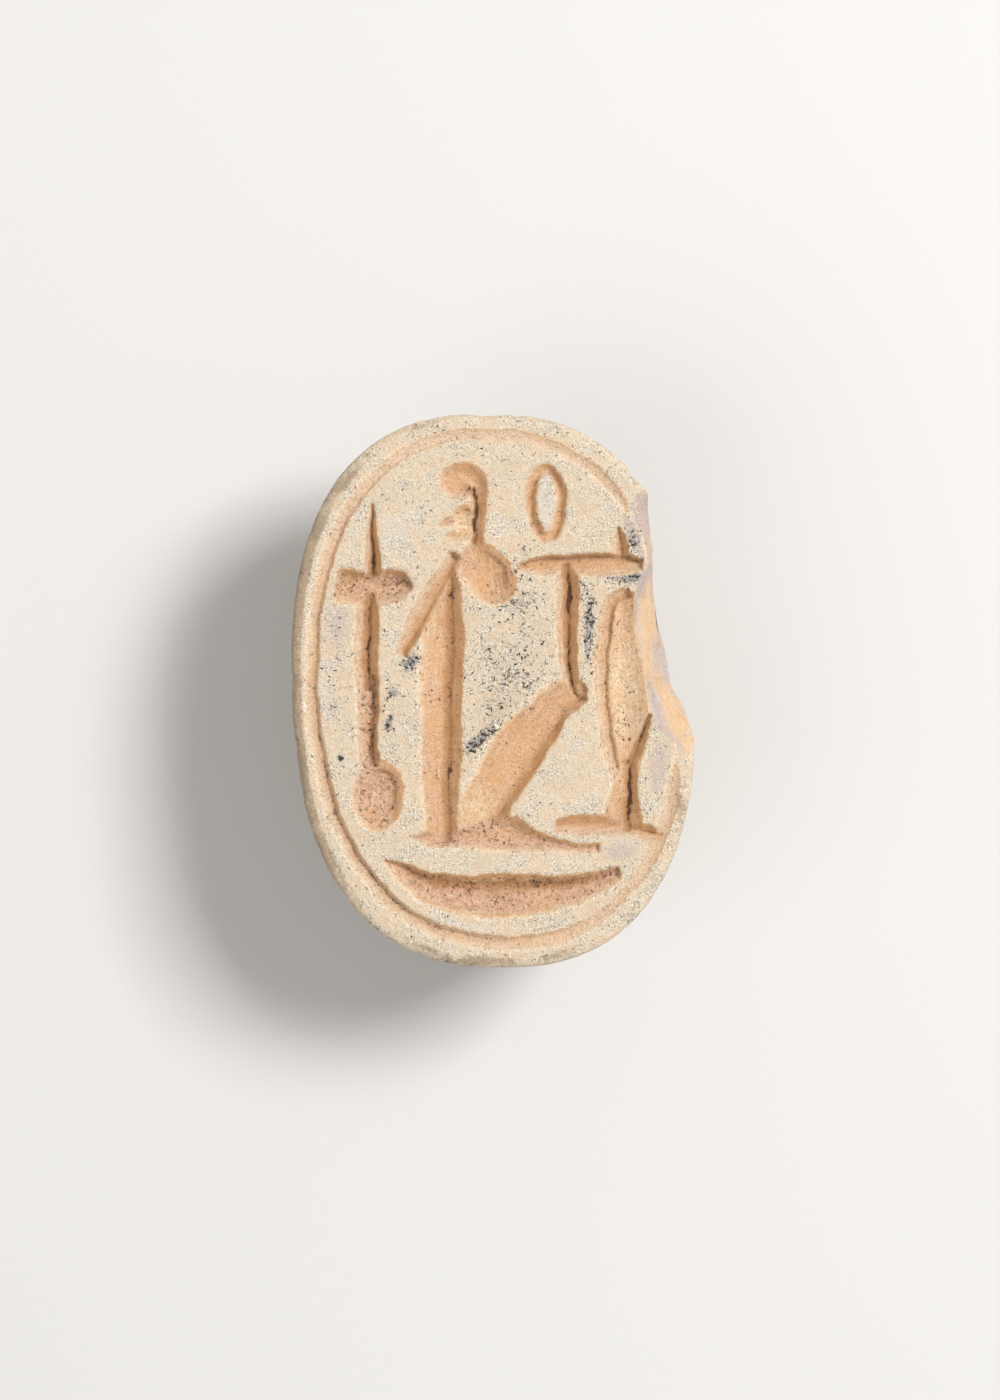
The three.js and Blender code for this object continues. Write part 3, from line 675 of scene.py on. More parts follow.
def wobble(x, y):
    """Offsets across and along by which the cut lines stray at each point."""
    draws = np.random.default_rng(WOBBLE_SEED)
    offsets = []
    for _ in range(2):
        offset = np.zeros(x.shape)
        for size, amount in WOBBLES:
            grid = draws.uniform(-amount, amount, (WOBBLE_CELLS, WOBBLE_CELLS))
            place_x, place_y = x / size + WOBBLE_CELLS / 2, y / size + WOBBLE_CELLS / 2
            i = np.clip(place_x.astype(int), 0, WOBBLE_CELLS - 2)
            j = np.clip(place_y.astype(int), 0, WOBBLE_CELLS - 2)
            s, t = ramp(place_x - i, 0, 1), ramp(place_y - j, 0, 1)
            low = grid[i, j] * (1 - s) + grid[i + 1, j] * s
            high = grid[i, j + 1] * (1 - s) + grid[i + 1, j + 1] * s
            offset += low * (1 - t) + high * t
        offsets.append(offset)
    return offsets


def follow_run(run, x, y):
    """Nearest place on a run: side and distance in half widths, the half width, the way along."""
    nearest = np.full(x.shape, np.inf)
    side, half, along = np.zeros(x.shape), np.ones(x.shape), np.zeros(x.shape)
    gone = 0.0
    for start, end in zip(run[:-1], run[1:]):
        dx, dy = end[0] - start[0], end[1] - start[1]
        length = math.hypot(dx, dy)
        t = np.clip(((x - start[0]) * dx + (y - start[1]) * dy) / length ** 2, 0, 1)
        off_x, off_y = x - start[0] - t * dx, y - start[1] - t * dy
        here = start[2] + t * (end[2] - start[2])
        away = np.hypot(off_x, off_y) / here
        closer = away < nearest
        nearest = np.where(closer, away, nearest)
        side = np.where(closer, (dx * off_y - dy * off_x) / (length * here), side)
        half = np.where(closer, here, half)
        along = np.where(closer, gone + t * length, along)
        gone += length
    return side, nearest, half, along


def groove_depth(run, x, y, depth, keel):
    """Signed depth of a groove, nearness to its keel and to the keel's shade, place across and along."""
    side, away, half, along = follow_run(run, x, y)
    widest = run[:, 2].max()
    beyond = np.sqrt(np.maximum(away ** 2 - side ** 2, 0))
    shape = np.minimum(section(np.clip(side, FAR_OFF - 1, 1 - FAR_OFF), keel), 1 - (beyond / END_CAP) ** 2)
    full = np.sqrt(half / widest)
    off_keel = (side - keel) * half
    within = ramp(full * shape, KEEL_START, KEEL_FULL)
    near_keel = np.exp(-(off_keel / KEEL_HALF) ** 2) * within
    reach = np.where(off_keel < 0, SHADE_ON_FLOOR, SHADE_ON_WALL)
    shade = np.exp(-(off_keel / reach) ** 2) * within
    return depth * full * np.maximum(shape, FAR_OFF), near_keel, shade, side * half, along


def to_plan(stations):
    """Stations in percent as millimetres across, up and half width."""
    scale = np.array((WIDTH, LENGTH, LENGTH)) * PERCENT
    return np.array(stations, float) * scale[:len(stations[0])]


def towards_light(across, up):
    """The part of a direction in the plan that points at the light."""
    lit = math.radians(LIGHT_ANGLE)
    return across * math.cos(lit) + up * math.sin(lit)


def hollow_depth(middle, half, lean, x, y):
    """Signed depth of a scooped hollow, and the shade where its floor meets its wall."""
    turn = math.radians(lean)
    dx, dy = x - middle[0] * PERCENT * WIDTH, y - middle[1] * PERCENT * LENGTH
    along = (math.cos(turn) * dx + math.sin(turn) * dy) / (half[0] * PERCENT * LENGTH)
    up = (math.cos(turn) * dy - math.sin(turn) * dx) / (half[1] * PERCENT * LENGTH)
    out = np.hypot(along, up)
    lee = ramp(towards_light(dx, dy) / np.maximum(np.hypot(dx, dy), 0.01), BOWL_LEE_START, BOWL_LEE_END)
    power = BOWL_POWER + (BOWL_LEE_POWER - BOWL_POWER) * lee
    shade = np.exp(-((out - BOWL_WALL_START) / BOWL_WALL_SPREAD) ** 2) * lee
    return DRILL_DEPTH * np.maximum(1 - out ** power, FAR_OFF), shade


def closed_run(x, y, half):
    """A run of one half width that ends where it starts."""
    run = np.column_stack((x, y, np.full(len(x), half)))
    return np.vstack((run, run[:1]))


def border_run():
    """The line round the picture."""
    angle = np.arange(BORDER_POINTS) * 2 * math.pi / BORDER_POINTS
    from_bulge = np.cos(angle - math.radians(BORDER_BULGE_ANGLE))
    bulge = 1 + BORDER_BULGE * np.maximum(from_bulge, 0) ** 2
    half_length = LENGTH / 2 - BORDER_INSET - BORDER_FOOT / 2
    x, y = oval_point(angle, WIDTH / 2 - BORDER_INSET, half_length, BORDER_POWER)
    return closed_run(x * bulge, y * bulge + BORDER_FOOT / 2, BORDER_WIDTH / 2)


def sign_run():
    """The oval ring, a little pointed at its foot."""
    angle = np.arange(SIGN_POINTS) * 2 * math.pi / SIGN_POINTS
    pointed = 1 - SIGN_POINT * np.maximum(-np.sin(angle), 0)
    x = (SIGN_MIDDLE[0] + SIGN_HALF[0] * np.cos(angle) * pointed) * PERCENT * WIDTH
    y = (SIGN_MIDDLE[1] + SIGN_HALF[1] * np.sin(angle)) * PERCENT * LENGTH
    return closed_run(x, y, SIGN_LINE / 2)


def blob_field(blobs, x, y):
    """Sum of soft oval patches, each a middle, half sizes, lean and strength."""
    field = np.zeros(x.shape)
    for (mx, my), (half_x, half_y), lean, strength in blobs:
        turn = math.radians(lean)
        dx, dy = x - mx, y - my
        along = (math.cos(turn) * dx + math.sin(turn) * dy) / half_x
        up = (math.cos(turn) * dy - math.sin(turn) * dx) / half_y
        field += strength * np.exp(-(along ** 2 + up ** 2))
    return field


def picture_cuts(x, y):
    """Each stroke, then each hollow: name, depth, keel, shade and the tool's way, if it has one."""
    for name, (depth, keel, darkness, path) in STROKES.items():
        run = centripetal_run(to_plan(path), STROKE_STEPS)
        here, near_keel, shade, off_middle, way = groove_depth(run, x, y, depth, keel)
        here = here + KEEL_DEPTH * near_keel * min(darkness, 1)
        yield name, here, near_keel * darkness, shade * min(darkness + SHADE_EXTRA, 1), (off_middle, way)
    for name, (middle, half, lean, darkness) in HOLLOWS.items():
        here, shade = hollow_depth(middle, half, lean, x, y)
        yield name, here, shade * darkness, shade, None


def picture_fields(x, y):
    """Depths of the strokes and hollows and of the rough ones, keels, their shade, the tool's way."""
    deepest, rough = np.full(x.shape, -1.0), np.full(x.shape, -1.0)
    keels, shades = np.zeros(x.shape), np.zeros(x.shape)
    across, along = x.copy(), y.copy()
    for name, here, keel, shade, tool_way in picture_cuts(x, y):
        deeper = here > deepest
        keels = np.where(deeper, keel, keels)
        shades = np.where(deeper, shade, shades)
        if tool_way:
            across = np.where(deeper, tool_way[0], across)
            along = np.where(deeper, tool_way[1], along)
        deepest = smooth_larger(deepest, here, JOIN_ROUNDING)
        if name in ROUGH_CUTS:
            rough = np.maximum(rough, here)
    return deepest, rough, keels, shades, across, along


def cut_fields(x, y, cuts):
    """What the tools left at each point of the face: depths, keels, their shade, the tool's way."""
    stray_x, stray_y = wobble(x, y)
    unsteady = 1 + blob_field(RAGGED_PLACES, x, y)
    x, y = x + stray_x * unsteady, y + stray_y * unsteady
    deepest, rough, keels, shades, across, along = picture_fields(x, y)
    side = follow_run(sign_run(), x, y)[0]
    sign = SIGN_DEPTH * np.maximum(1 - np.abs(side) ** SIGN_POWER, FAR_OFF)
    keels = np.maximum(keels, np.exp(-((side - SIGN_KEEL) / SIGN_KEEL_WIDTH) ** 2) * SIGN_DARKNESS)
    deepest = smooth_larger(deepest, sign, JOIN_ROUNDING)
    border, near_keel, shade, _, _ = groove_depth(border_run(), x, y, cuts.border_depth / MM, BORDER_KEEL)
    border = border - blob_field(BORDER_WEAR, x, y)
    # The border's keel and its shade are painted darker where its inner wall faces away from the light
    to_light = towards_light(x, y) / np.maximum(np.hypot(x, y), 1)
    dim = BORDER_DARKNESS * np.clip(BORDER_LIT - to_light, 0, 1) * (border > deepest)
    return {
        "picture": deepest * cuts.relief, "rough": rough * cuts.relief, "border": border,
        "keel": keels * (KEEL_LEAST + blob_field(DARK_KEELS, x, y)) + near_keel * dim,
        "shade": shades + shade * dim, "across": across, "along": along,
    }


def break_limits(y):
    """Where the break starts on the face and ends at the side, for each y."""
    up, on_face, at_side = np.array(BREAK_EDGE[::-1], float).T
    place = up * PERCENT * LENGTH
    far = WIDTH
    stray, _ = wobble(np.full(y.shape, WIDTH / 2), y)
    inner = np.interp(y, place, on_face * PERCENT * WIDTH, left=far, right=far) + stray
    outer = np.interp(y, place, at_side * PERCENT * WIDTH, left=far, right=far) + stray * BREAK_STRAY
    return inner, outer


def break_ends():
    """How far up the break's lower and upper ends are."""
    return BREAK_EDGE[-1][0] * PERCENT * LENGTH, BREAK_EDGE[0][0] * PERCENT * LENGTH


def break_depth(x, y):
    """Signed depth of the break's slope below the face."""
    inner, outer = break_limits(y)
    share = np.clip((x - inner) / np.maximum(outer - inner, BREAK_NARROWEST), -1, 1)
    low, high = break_ends()
    whole = ramp(y, low, low + BREAK_LOW_FADE) * (1 - ramp(y, high - BREAK_HIGH_FADE, high))
    stray, _ = wobble(x, y)
    steps = np.sin(share * BREAK_STEPS * 2 * math.pi + y * BREAK_STEP_LEAN)
    stepped = (share + BREAK_STEP_SHARE * steps) * ramp(share, 0, BREAK_EASE)
    uneven = stray * BREAK_UNEVEN / BREAK_SLOPE_DEPTH * ramp(share, 0, UNEVEN_EASE)
    inside = np.maximum(stepped + uneven, BREAK_LEAST * share)
    return BREAK_SLOPE_DEPTH * np.where(share > 0, inside * whole, share)


def disc_grid(across, along):
    """A square grid bent to fill a disc: angle and radius of each point."""
    u, v = np.meshgrid(np.linspace(-1, 1, across + 1), np.linspace(-1, 1, along + 1), indexing="ij")
    x, y = u * np.sqrt(1 - v * v / 2), v * np.sqrt(1 - u * u / 2)
    return np.arctan2(y, x), np.minimum(np.hypot(x, y), 1)


def rim_indices(across, along):
    """Grid indices of the rim, once round, counter-clockwise from the lower left corner."""
    index = np.arange((across + 1) * (along + 1)).reshape(across + 1, along + 1)
    return np.concatenate((index[:-1, 0], index[-1, :-1], index[:0:-1, -1], index[0, :0:-1]))


def grid_faces(across, along, first, upwards):
    """Quads of a grid whose first point has the given index, facing up or down."""
    index = np.arange((across + 1) * (along + 1)).reshape(across + 1, along + 1) + first
    quads = np.stack((index[:-1, :-1], index[1:, :-1], index[1:, 1:], index[:-1, 1:]), -1).reshape(-1, 4)
    return quads if upwards else quads[:, ::-1]


def ring_faces(upper, lower):
    """Quads between two rings of equally many points, facing outwards."""
    return np.column_stack((upper, lower, np.roll(lower, -1), np.roll(upper, -1)))


def face_surface(cuts):
    """The engraved face: points of the grid in millimetres."""
    angle, radius = disc_grid(CELLS_ACROSS, CELLS_ALONG)
    edge = PLATE_ROUNDING
    x, y = oval_point(angle, WIDTH / 2 - edge, LENGTH / 2 - edge)
    x, y = x * radius, y * radius
    across = oval_half_width(y, edge)
    limit = np.minimum(break_limits(y)[1] + 0 * x, across)
    hinge = limit / 2
    squeezed = hinge + (x - hinge) * (limit - hinge) / (across - hinge)
    x = np.where((x > hinge) & (limit < across), squeezed, x)
    carved = cut_fields(x, y, cuts)
    depth = smooth_larger(carved["picture"], carved["border"], JOIN_ROUNDING)
    depth = smooth_larger(depth, np.zeros(x.shape), LIP_ROUNDING)
    depth = smooth_larger(depth, break_depth(x, y), JOIN_ROUNDING)
    return worn_dent(np.stack((x, y, HEIGHT - depth), -1).reshape(-1, 3))


def oval_half_width(y, inset):
    """Distance from x = 0 to the right of the oval at each y."""
    share = np.minimum(np.abs(y) / (LENGTH / 2 - inset), 1)
    return (WIDTH / 2 - inset) * (1 - share ** OVAL_POWER) ** (1 / OVAL_POWER) + OVAL_DRIFT * y


def side_profile():
    """Levels of the plate's edge: inset from the outline, and height."""
    levels = []
    for i in range(1, EDGE_STEPS + 1):
        turn = i / EDGE_STEPS * math.pi / 2
        inset = PLATE_ROUNDING * (1 - math.sin(turn))
        levels.append((inset, HEIGHT - PLATE_ROUNDING * (1 - math.cos(turn))))
    return levels + [(inset, PLATE_UNDER + rise) for inset, rise in LOWER_EDGE]


def waist_profile():
    """Levels of the leg zone, from the fillet under the plate to the one above the back."""
    top = PLATE_UNDER - WAIST_FILLET
    bottom = BACK_TOP + WAIST_FILLET
    return np.linspace(top, bottom, WAIST_STEPS)


def leg_run(path, half):
    """A leg's run on the unrolled side: way round, height over the plate's underside, half width."""
    stations = [(math.radians(turn) * half, -share * WAIST_THICKNESS, 1) for turn, share in path]
    run = centripetal_run(stations, LEG_STEPS)
    run[:, 2] = LEG_WIDTH / 2 * (1 - LEG_TAPER * np.linspace(0, 1, len(run)))
    return run


def leg_stand(angle, z):
    """How far the legs stand out of the wall of the leg zone."""
    half = LENGTH / 2 - WAIST_INSET
    stand = np.zeros(angle.shape)
    for side in SIDES:
        turned = angle if side > 0 else math.pi - angle
        turned = (turned + math.pi) % (2 * math.pi) - math.pi
        for path in LEGS:
            across, away, half_width, _ = follow_run(leg_run(path, half), turned * half, z - PLATE_UNDER)
            bulk = np.maximum(1 - away ** LEG_SHARPNESS, 0)
            height = LEG_STAND * half_width / (LEG_WIDTH / 2)
            groove = LEG_GROOVE_DEPTH * np.maximum(1 - (across * half_width / LEG_GROOVE_WIDTH) ** 2, 0)
            stand = np.maximum(stand, height * bulk ** LEG_CREST_POWER - groove * (away < LEG_GROOVE_REACH))
    return stand


def clamp_to_break(points):
    """Cuts the side back to the break's wall, and drops the edge where its slope is lower."""
    x, y, z = points.T
    _, outer = break_limits(y)
    below = HEIGHT - z
    spread = BREAK_SPREAD * np.clip((below - BREAK_WALL_DEPTH) / (BREAK_DEPTH - BREAK_WALL_DEPTH), 0, 1)
    limit = np.where(below > BREAK_DEPTH, WIDTH, outer + spread)
    return np.column_stack((np.minimum(x, limit), y, z))


def worn_dent(points):
    """Presses the string's worn dent into the edge over the hole at the head end."""
    x, y, z = points.T
    near = np.exp(-((x - OVAL_DRIFT * y) / DENT_HALF) ** 2)
    near = near * ramp(y, LENGTH / 2 - DENT_REACH, LENGTH / 2)
    return np.column_stack((x, y - DENT_DEPTH * near * (z > PLATE_UNDER - MARGIN), z))


def side_rings():
    """Rings from the face's rim down to the back's rim, and their faces, fine then coarse."""
    angle_grid, _ = disc_grid(CELLS_ACROSS, CELLS_ALONG)
    rim = rim_indices(CELLS_ACROSS, CELLS_ALONG)
    angle = angle_grid.ravel()[rim]
    rings = []
    for level, (inset, z) in enumerate(side_profile(), 1):
        x, y = oval_point(angle, WIDTH / 2 - inset, LENGTH / 2 - inset)
        _, outer = break_limits(y)
        start_z = HEIGHT - np.maximum(break_depth(np.minimum(x, outer), y), 0)
        ring_z = np.minimum(z, start_z - RING_DROP * level)
        rings.append(worn_dent(clamp_to_break(np.column_stack((x, y, ring_z)))))
    coarse = angle[::2]
    for z in waist_profile():
        stand = leg_stand(coarse, np.full(coarse.shape, z))
        x, y = oval_point(coarse, WIDTH / 2 - WAIST_INSET + stand, LENGTH / 2 - WAIST_INSET + stand)
        rings.append(clamp_to_break(np.column_stack((x, y, np.full(x.shape, z)))))
    return rings


def back_fall(share):
    """Height left of a dome of one unit at a share of the way out."""
    return (1 - np.minimum(share, 1) ** BACK_POWER) ** (1 / BACK_POWER)


def back_height(share):
    """Height of the domed back, which is flat where the seal rests."""
    return np.maximum(BACK_TOP * (1 - back_fall(share) / back_fall(REST_SHARE)), 0)


def seam_x(y):
    """Place across of the wing case seam."""
    return OVAL_DRIFT * (y + BACK_START / 2)


def back_line_runs():
    """Cross lines, wing case seam and shoulder marks, as runs in the plan."""
    seam_end = BACK_INSET + LINE_END_GAP - LENGTH / 2
    plans = [[(seam_x(y), y) for y in np.linspace(SHIELD_LINE_Y, seam_end, LINE_STATIONS)]]
    for middle, bow, half in ((SHIELD_LINE_Y, SHIELD_LINE_BOW, WIDTH / 2 - BACK_INSET - LINE_END_GAP),
                              (NECK_LINE_Y, NECK_LINE_BOW, NECK_LINE_HALF)):
        plans.append([(share * half + OVAL_DRIFT * middle, middle + bow * share ** 2)
                      for share in np.linspace(-1, 1, LINE_STATIONS)])
    for side in SIDES:
        plans.append([(side * across + seam_x(SHIELD_LINE_Y), SHIELD_LINE_Y - behind)
                      for across, behind in SHOULDER_MARK])
    return [centripetal_run([(x, y, BACK_LINE_WIDTH / 2) for x, y in plan], LINE_STEPS) for plan in plans]


def back_surface():
    """The domed back with its cut lines: points of the coarse grid in millimetres."""
    across, along = CELLS_ACROSS // 2, CELLS_ALONG // 2
    angle, radius = disc_grid(across, along)
    share = np.sin(radius * math.pi / 2)
    half_length = LENGTH / 2 - BACK_INSET - BACK_START / 2
    x, y = oval_point(angle, WIDTH / 2 - BACK_INSET, half_length)
    x, y = x * share, y * share - BACK_START / 2
    depth = np.zeros(x.shape)
    for run in back_line_runs():
        line = groove_depth(run, x, y, BACK_LINE_DEPTH, 0)[0]
        depth = smooth_larger(depth, line, JOIN_ROUNDING)
    z = back_height(share) + depth
    return clamp_to_break(np.stack((x, y, z), -1).reshape(-1, 3))


def body_arrays(cuts):
    """Points and faces of the seal without its head and string hole."""
    face = face_surface(cuts)
    rings = side_rings()
    back = back_surface()
    points = np.vstack((face, *rings, back))
    starts = len(face) + np.cumsum([0] + [len(ring) for ring in rings])
    faces = [grid_faces(CELLS_ACROSS, CELLS_ALONG, 0, True)]
    triangles = []
    upper = rim_indices(CELLS_ACROSS, CELLS_ALONG)
    for start, ring in zip(starts, rings):
        lower = np.arange(start, start + len(ring))
        if len(lower) == len(upper):
            faces.append(ring_faces(upper, lower))
        else:
            first, middle, last = upper[::2], upper[1::2], np.roll(upper[::2], -1)
            after = np.roll(lower, -1)
            triangles += [np.column_stack(corners) for corners in
                          ((first, lower, middle), (middle, lower, after), (middle, after, last))]
        upper = lower
    across, along = CELLS_ACROSS // 2, CELLS_ALONG // 2
    back_rim = rim_indices(across, along) + starts[-1]
    faces.append(ring_faces(upper, back_rim))
    faces.append(grid_faces(across, along, starts[-1], False))
    return points, [*np.vstack(faces).tolist(), *np.vstack(triangles).tolist()]


def mesh_object(name, points, faces):
    """A new object at the origin from points in millimetres."""
    mesh = bpy.data.meshes.new(name)
    mesh.from_pydata((np.asarray(points) * MM).tolist(), [], faces)
    mesh.validate()
    piece = bpy.data.objects.new(name, mesh)
    bpy.context.scene.collection.objects.link(piece)
    return piece


def loft_faces(count, levels):
    """Faces of a closed skin over level rings, wound for rings that step downwards."""
    faces = [list(range(count))]
    for level in range(levels - 1):
        upper = np.arange(count) + level * count
        faces += ring_faces(upper, upper + count).tolist()
    faces.append(list(range(levels * count - 1, (levels - 1) * count - 1, -1)))
    return faces


def lobe_object(name, width, length, middle_y, base_z, top_z, levels, notched=False):
    """A low oval lobe that faces down, with teeth along its front if it is notched."""
    angle = np.arange(LOBE_SIDES) * 2 * math.pi / LOBE_SIDES
    points = []
    for share, rise in levels:
        x, y = oval_point(angle, width / 2 * share, length / 2 * share)
        y = y + middle_y
        if notched:
            tip = middle_y + length / 2
            teeth = np.abs(((x / NOTCH_PITCH + NOTCHES / 2) % 1) - 0.5) * 2 * NOTCH_PITCH / NOTCH_WIDTH
            inside = np.abs(x) < NOTCHES / 2 * NOTCH_PITCH
            bite = NOTCH_DEPTH * np.clip(1 - teeth, 0, 1) * inside * (y > middle_y)
            y = np.minimum(y, tip - bite * share)
        x = x + OVAL_DRIFT * middle_y
        points.append(np.column_stack((x, y, np.full(x.shape, base_z + (top_z - base_z) * rise))))
    return mesh_object(name, np.vstack(points), loft_faces(LOBE_SIDES, len(levels)))


def eye_object(side, y, z):
    """One of the beetle's eyes, a low round bump beside the head."""
    bpy.ops.mesh.primitive_uv_sphere_add(segments=EYE_SEGMENTS, ring_count=EYE_RINGS, radius=EYE_RADIUS * MM)
    eye = bpy.context.object
    place = Vector((side * EYE_SPREAD + OVAL_DRIFT * y, y, z)) * MM
    eye.data.transform(Matrix.Translation(place))
    return eye


def head_parts():
    """The beetle's head, its toothed front plate and its eyes."""
    front = LENGTH / 2 - WAIST_INSET
    base_z = BACK_TOP + WAIST_THICKNESS / 2 - BORE_DIAMETER / 2 - HEAD_OVER_BORE
    head_y = front - HEAD_LENGTH / 2
    head = lobe_object("head", HEAD_WIDTH, HEAD_LENGTH, head_y, base_z, BACK_TOP - HEAD_RISE, HEAD_LEVELS)
    plate_y = front + CLYPEUS_REACH - CLYPEUS_LENGTH / 2
    plate = lobe_object("front_plate", CLYPEUS_WIDTH, CLYPEUS_LENGTH, plate_y, base_z,
                        BACK_TOP - CLYPEUS_RISE, PLATE_LEVELS, notched=True)
    eyes = [eye_object(side, head_y + EYE_AHEAD, BACK_TOP - EYE_RISE) for side in SIDES]
    return [head, plate, *eyes]


def bore_object():
    """Round bar for the string hole, wider at both worn mouths."""
    end, mouth = LENGTH / 2 + PAST, LENGTH / 2 - WAIST_INSET - MOUTH_WEAR_LENGTH
    from_end = (end, mouth + MOUTH_OUTER, mouth, mouth - MOUTH_INNER)
    angle = np.arange(BORE_SIDES) * 2 * math.pi / BORE_SIDES
    middle_z = PLATE_UNDER - WAIST_THICKNESS / 2
    points = []
    for y in (*(-place for place in from_end), *reversed(from_end)):
        worn = np.clip((abs(y) - mouth + MOUTH_INNER) / (MOUTH_INNER + MOUTH_OUTER), 0, 1) ** 2
        reach = BORE_DIAMETER / 2 + MOUTH_WEAR * worn
        x = OVAL_DRIFT * y + reach * np.cos(angle)
        points.append(np.column_stack((x, np.full(angle.shape, y), middle_z + reach * np.sin(angle))))
    return mesh_object("bore_bar", np.vstack(points), loft_faces(BORE_SIDES, len(points)))


def outward(piece):
    """Turns a closed mesh's faces outwards."""
    shell = bmesh.new()
    shell.from_mesh(piece.data)
    bmesh.ops.recalc_face_normals(shell, faces=shell.faces)
    shell.to_mesh(piece.data)
    shell.free()


def combine(piece, other, operation):
    """Joins or cuts one solid with another, which is used up."""
    outward(other)
    modifier = piece.modifiers.new(operation.title(), "BOOLEAN")
    modifier.operation = operation
    modifier.solver = "MANIFOLD"
    modifier.object = other
    replace_mesh(piece)
    bpy.data.objects.remove(other)


def replace_mesh(piece):
    """Makes a piece's evaluated mesh its own and clears its modifiers."""
    evaluated = piece.evaluated_get(bpy.context.evaluated_depsgraph_get())
    mesh = bpy.data.meshes.new_from_object(evaluated)
    piece.modifiers.clear()
    piece.data = mesh


def from_middle(x, y):
    """Direction of a point from the middle, how far the outline reaches there, and the point's distance."""
    leant = x - OVAL_DRIFT * y
    angle = np.arctan2(y, leant)
    return angle, oval_reach(angle, WIDTH / 2, LENGTH / 2, OVAL_POWER), np.hypot(leant, y)


def grime_and_rim_shade_field(x, y, z):
    """Brown grime between the legs, in the back's lines, in patches and on the rim; painted shade on the
    rim's left side.
    """
    angle, reach, distance = from_middle(x, y)
    inset = (1 - distance / reach) * WIDTH / 2
    rim = (1 - ramp(inset, RIM_GRIME_AND_SHADE_WIDTH / 2, RIM_GRIME_AND_SHADE_WIDTH)) * (z > PLATE_UNDER)
    # The rim's left side, which faces away from the light, gets more brown: there it is partly painted shade
    rim = rim * (STAIN_LEAST + (1 - STAIN_LEAST) * ramp(-np.cos(angle), *RIM_SHADE_TURN))
    between_legs = 1 - ramp(leg_stand(angle, z), *LEG_CLEAR)
    waist = between_legs * (z < PLATE_UNDER + MARGIN) * (z > BACK_TOP) * WAIST_STAIN
    lines = np.zeros(x.shape)
    for run in back_line_runs():
        line = groove_depth(run, x, y, BACK_LINE_DEPTH, 0)[0]
        lines = np.maximum(lines, ramp(line, *LINE_STAIN))
    patches = blob_field(STAIN_PATCHES, x, y) * (z > PLATE_UNDER)
    return np.maximum(np.maximum(rim, waist), lines * (z < BACK_TOP)) + patches


def break_fields(x, y, z, over):
    """How far a point belongs to the break, whose slope is lower than the cuts by over, and its seam."""
    low, high = break_ends()
    start, _ = break_limits(y)
    broken = ramp(over, BROKEN_START, BROKEN_FULL) * (x > start - BROKEN_MARGIN)
    broken = broken * (1 - ramp(HEIGHT - z, BREAK_DEPTH - BROKEN_FOOT_FADE, BREAK_DEPTH))
    broken = broken * ramp(y, low, low + BROKEN_LOW_FADE) * (1 - ramp(y, high - BROKEN_HIGH_FADE, high))
    seam = np.exp(-((x - start - SEAM_INSET) / SEAM_WIDTH) ** 2)
    return broken, seam * ramp(y, *SEAM_LOW) * (1 - ramp(y, *SEAM_HIGH))


def vertex_rows(items, name):
    """Three numbers of each vertex, as rows."""
    values = np.zeros(len(items) * 3, np.float32)
    items.foreach_get(name, values)
    return values.reshape(-1, 3)


def paint_fields(piece, cuts):
    """Writes what the finish needs to know about each point, as attributes."""
    mesh = piece.data
    x, y, z = (vertex_rows(mesh.vertices, "co") / MM).T.astype(float)
    normals = vertex_rows(mesh.vertex_normals, "vector")
    on_face = z > HEIGHT - BREAK_SLOPE_DEPTH - MARGIN
    carved = cut_fields(x, y, cuts)
    picture, border = carved["picture"], carved["border"]
    depth = smooth_larger(picture, border, JOIN_ROUNDING)
    slope = break_depth(x, y)
    whole = ramp(depth - slope, -MEETING, MEETING) * on_face
    broken, seam = break_fields(x, y, z, slope - depth)
    _, reach, distance = from_middle(x, y)
    fields = {
        "level": np.clip((depth + LEVEL_BELOW) / LEVEL_SPAN, 0, 1) * whole,
        "keel": carved["keel"] * whole,
        "shade": carved["shade"] * whole,
        "across": carved["across"],
        "along": carved["along"],
        "halo": np.exp(-(np.minimum(depth, 0) / HALO_WIDTH) ** 2) * whole,
        "lee": ramp(-towards_light(normals[:, 0], normals[:, 1]), *LEE_NORMALS) * on_face,
        "rough": ramp(carved["rough"], *ROUGH_DEPTHS) * whole,
        "line": ramp(border, *LINE_DEPTHS) * (picture < LINE_CLEARANCE) * whole,
        "broken": broken,
        "smear": blob_field(SMEARS, x, y) * on_face,
        "lilac": blob_field(LILAC_PATCHES, x, y) * on_face,
        "pale": np.clip(blob_field(PALE_FLOORS, x, y), 0, 1) * on_face,
        "chalk": blob_field(CHALK_PATCHES, x, y) * on_face,
        "warm": blob_field(WARM_BREAK, x, y),
        "seam": seam * on_face,
        "rim": np.exp(-((reach - distance) / RIM_WIDTH) ** 2) * (z > PLATE_UNDER) * (1 - broken),
        "grime_and_rim_shade": grime_and_rim_shade_field(x, y, z) * (1 - broken),
    }
    for name, values in fields.items():
        attribute = mesh.attributes.get(name) or mesh.attributes.new(name, "FLOAT", "POINT")
        attribute.data.foreach_set("value", values.astype(np.float32))


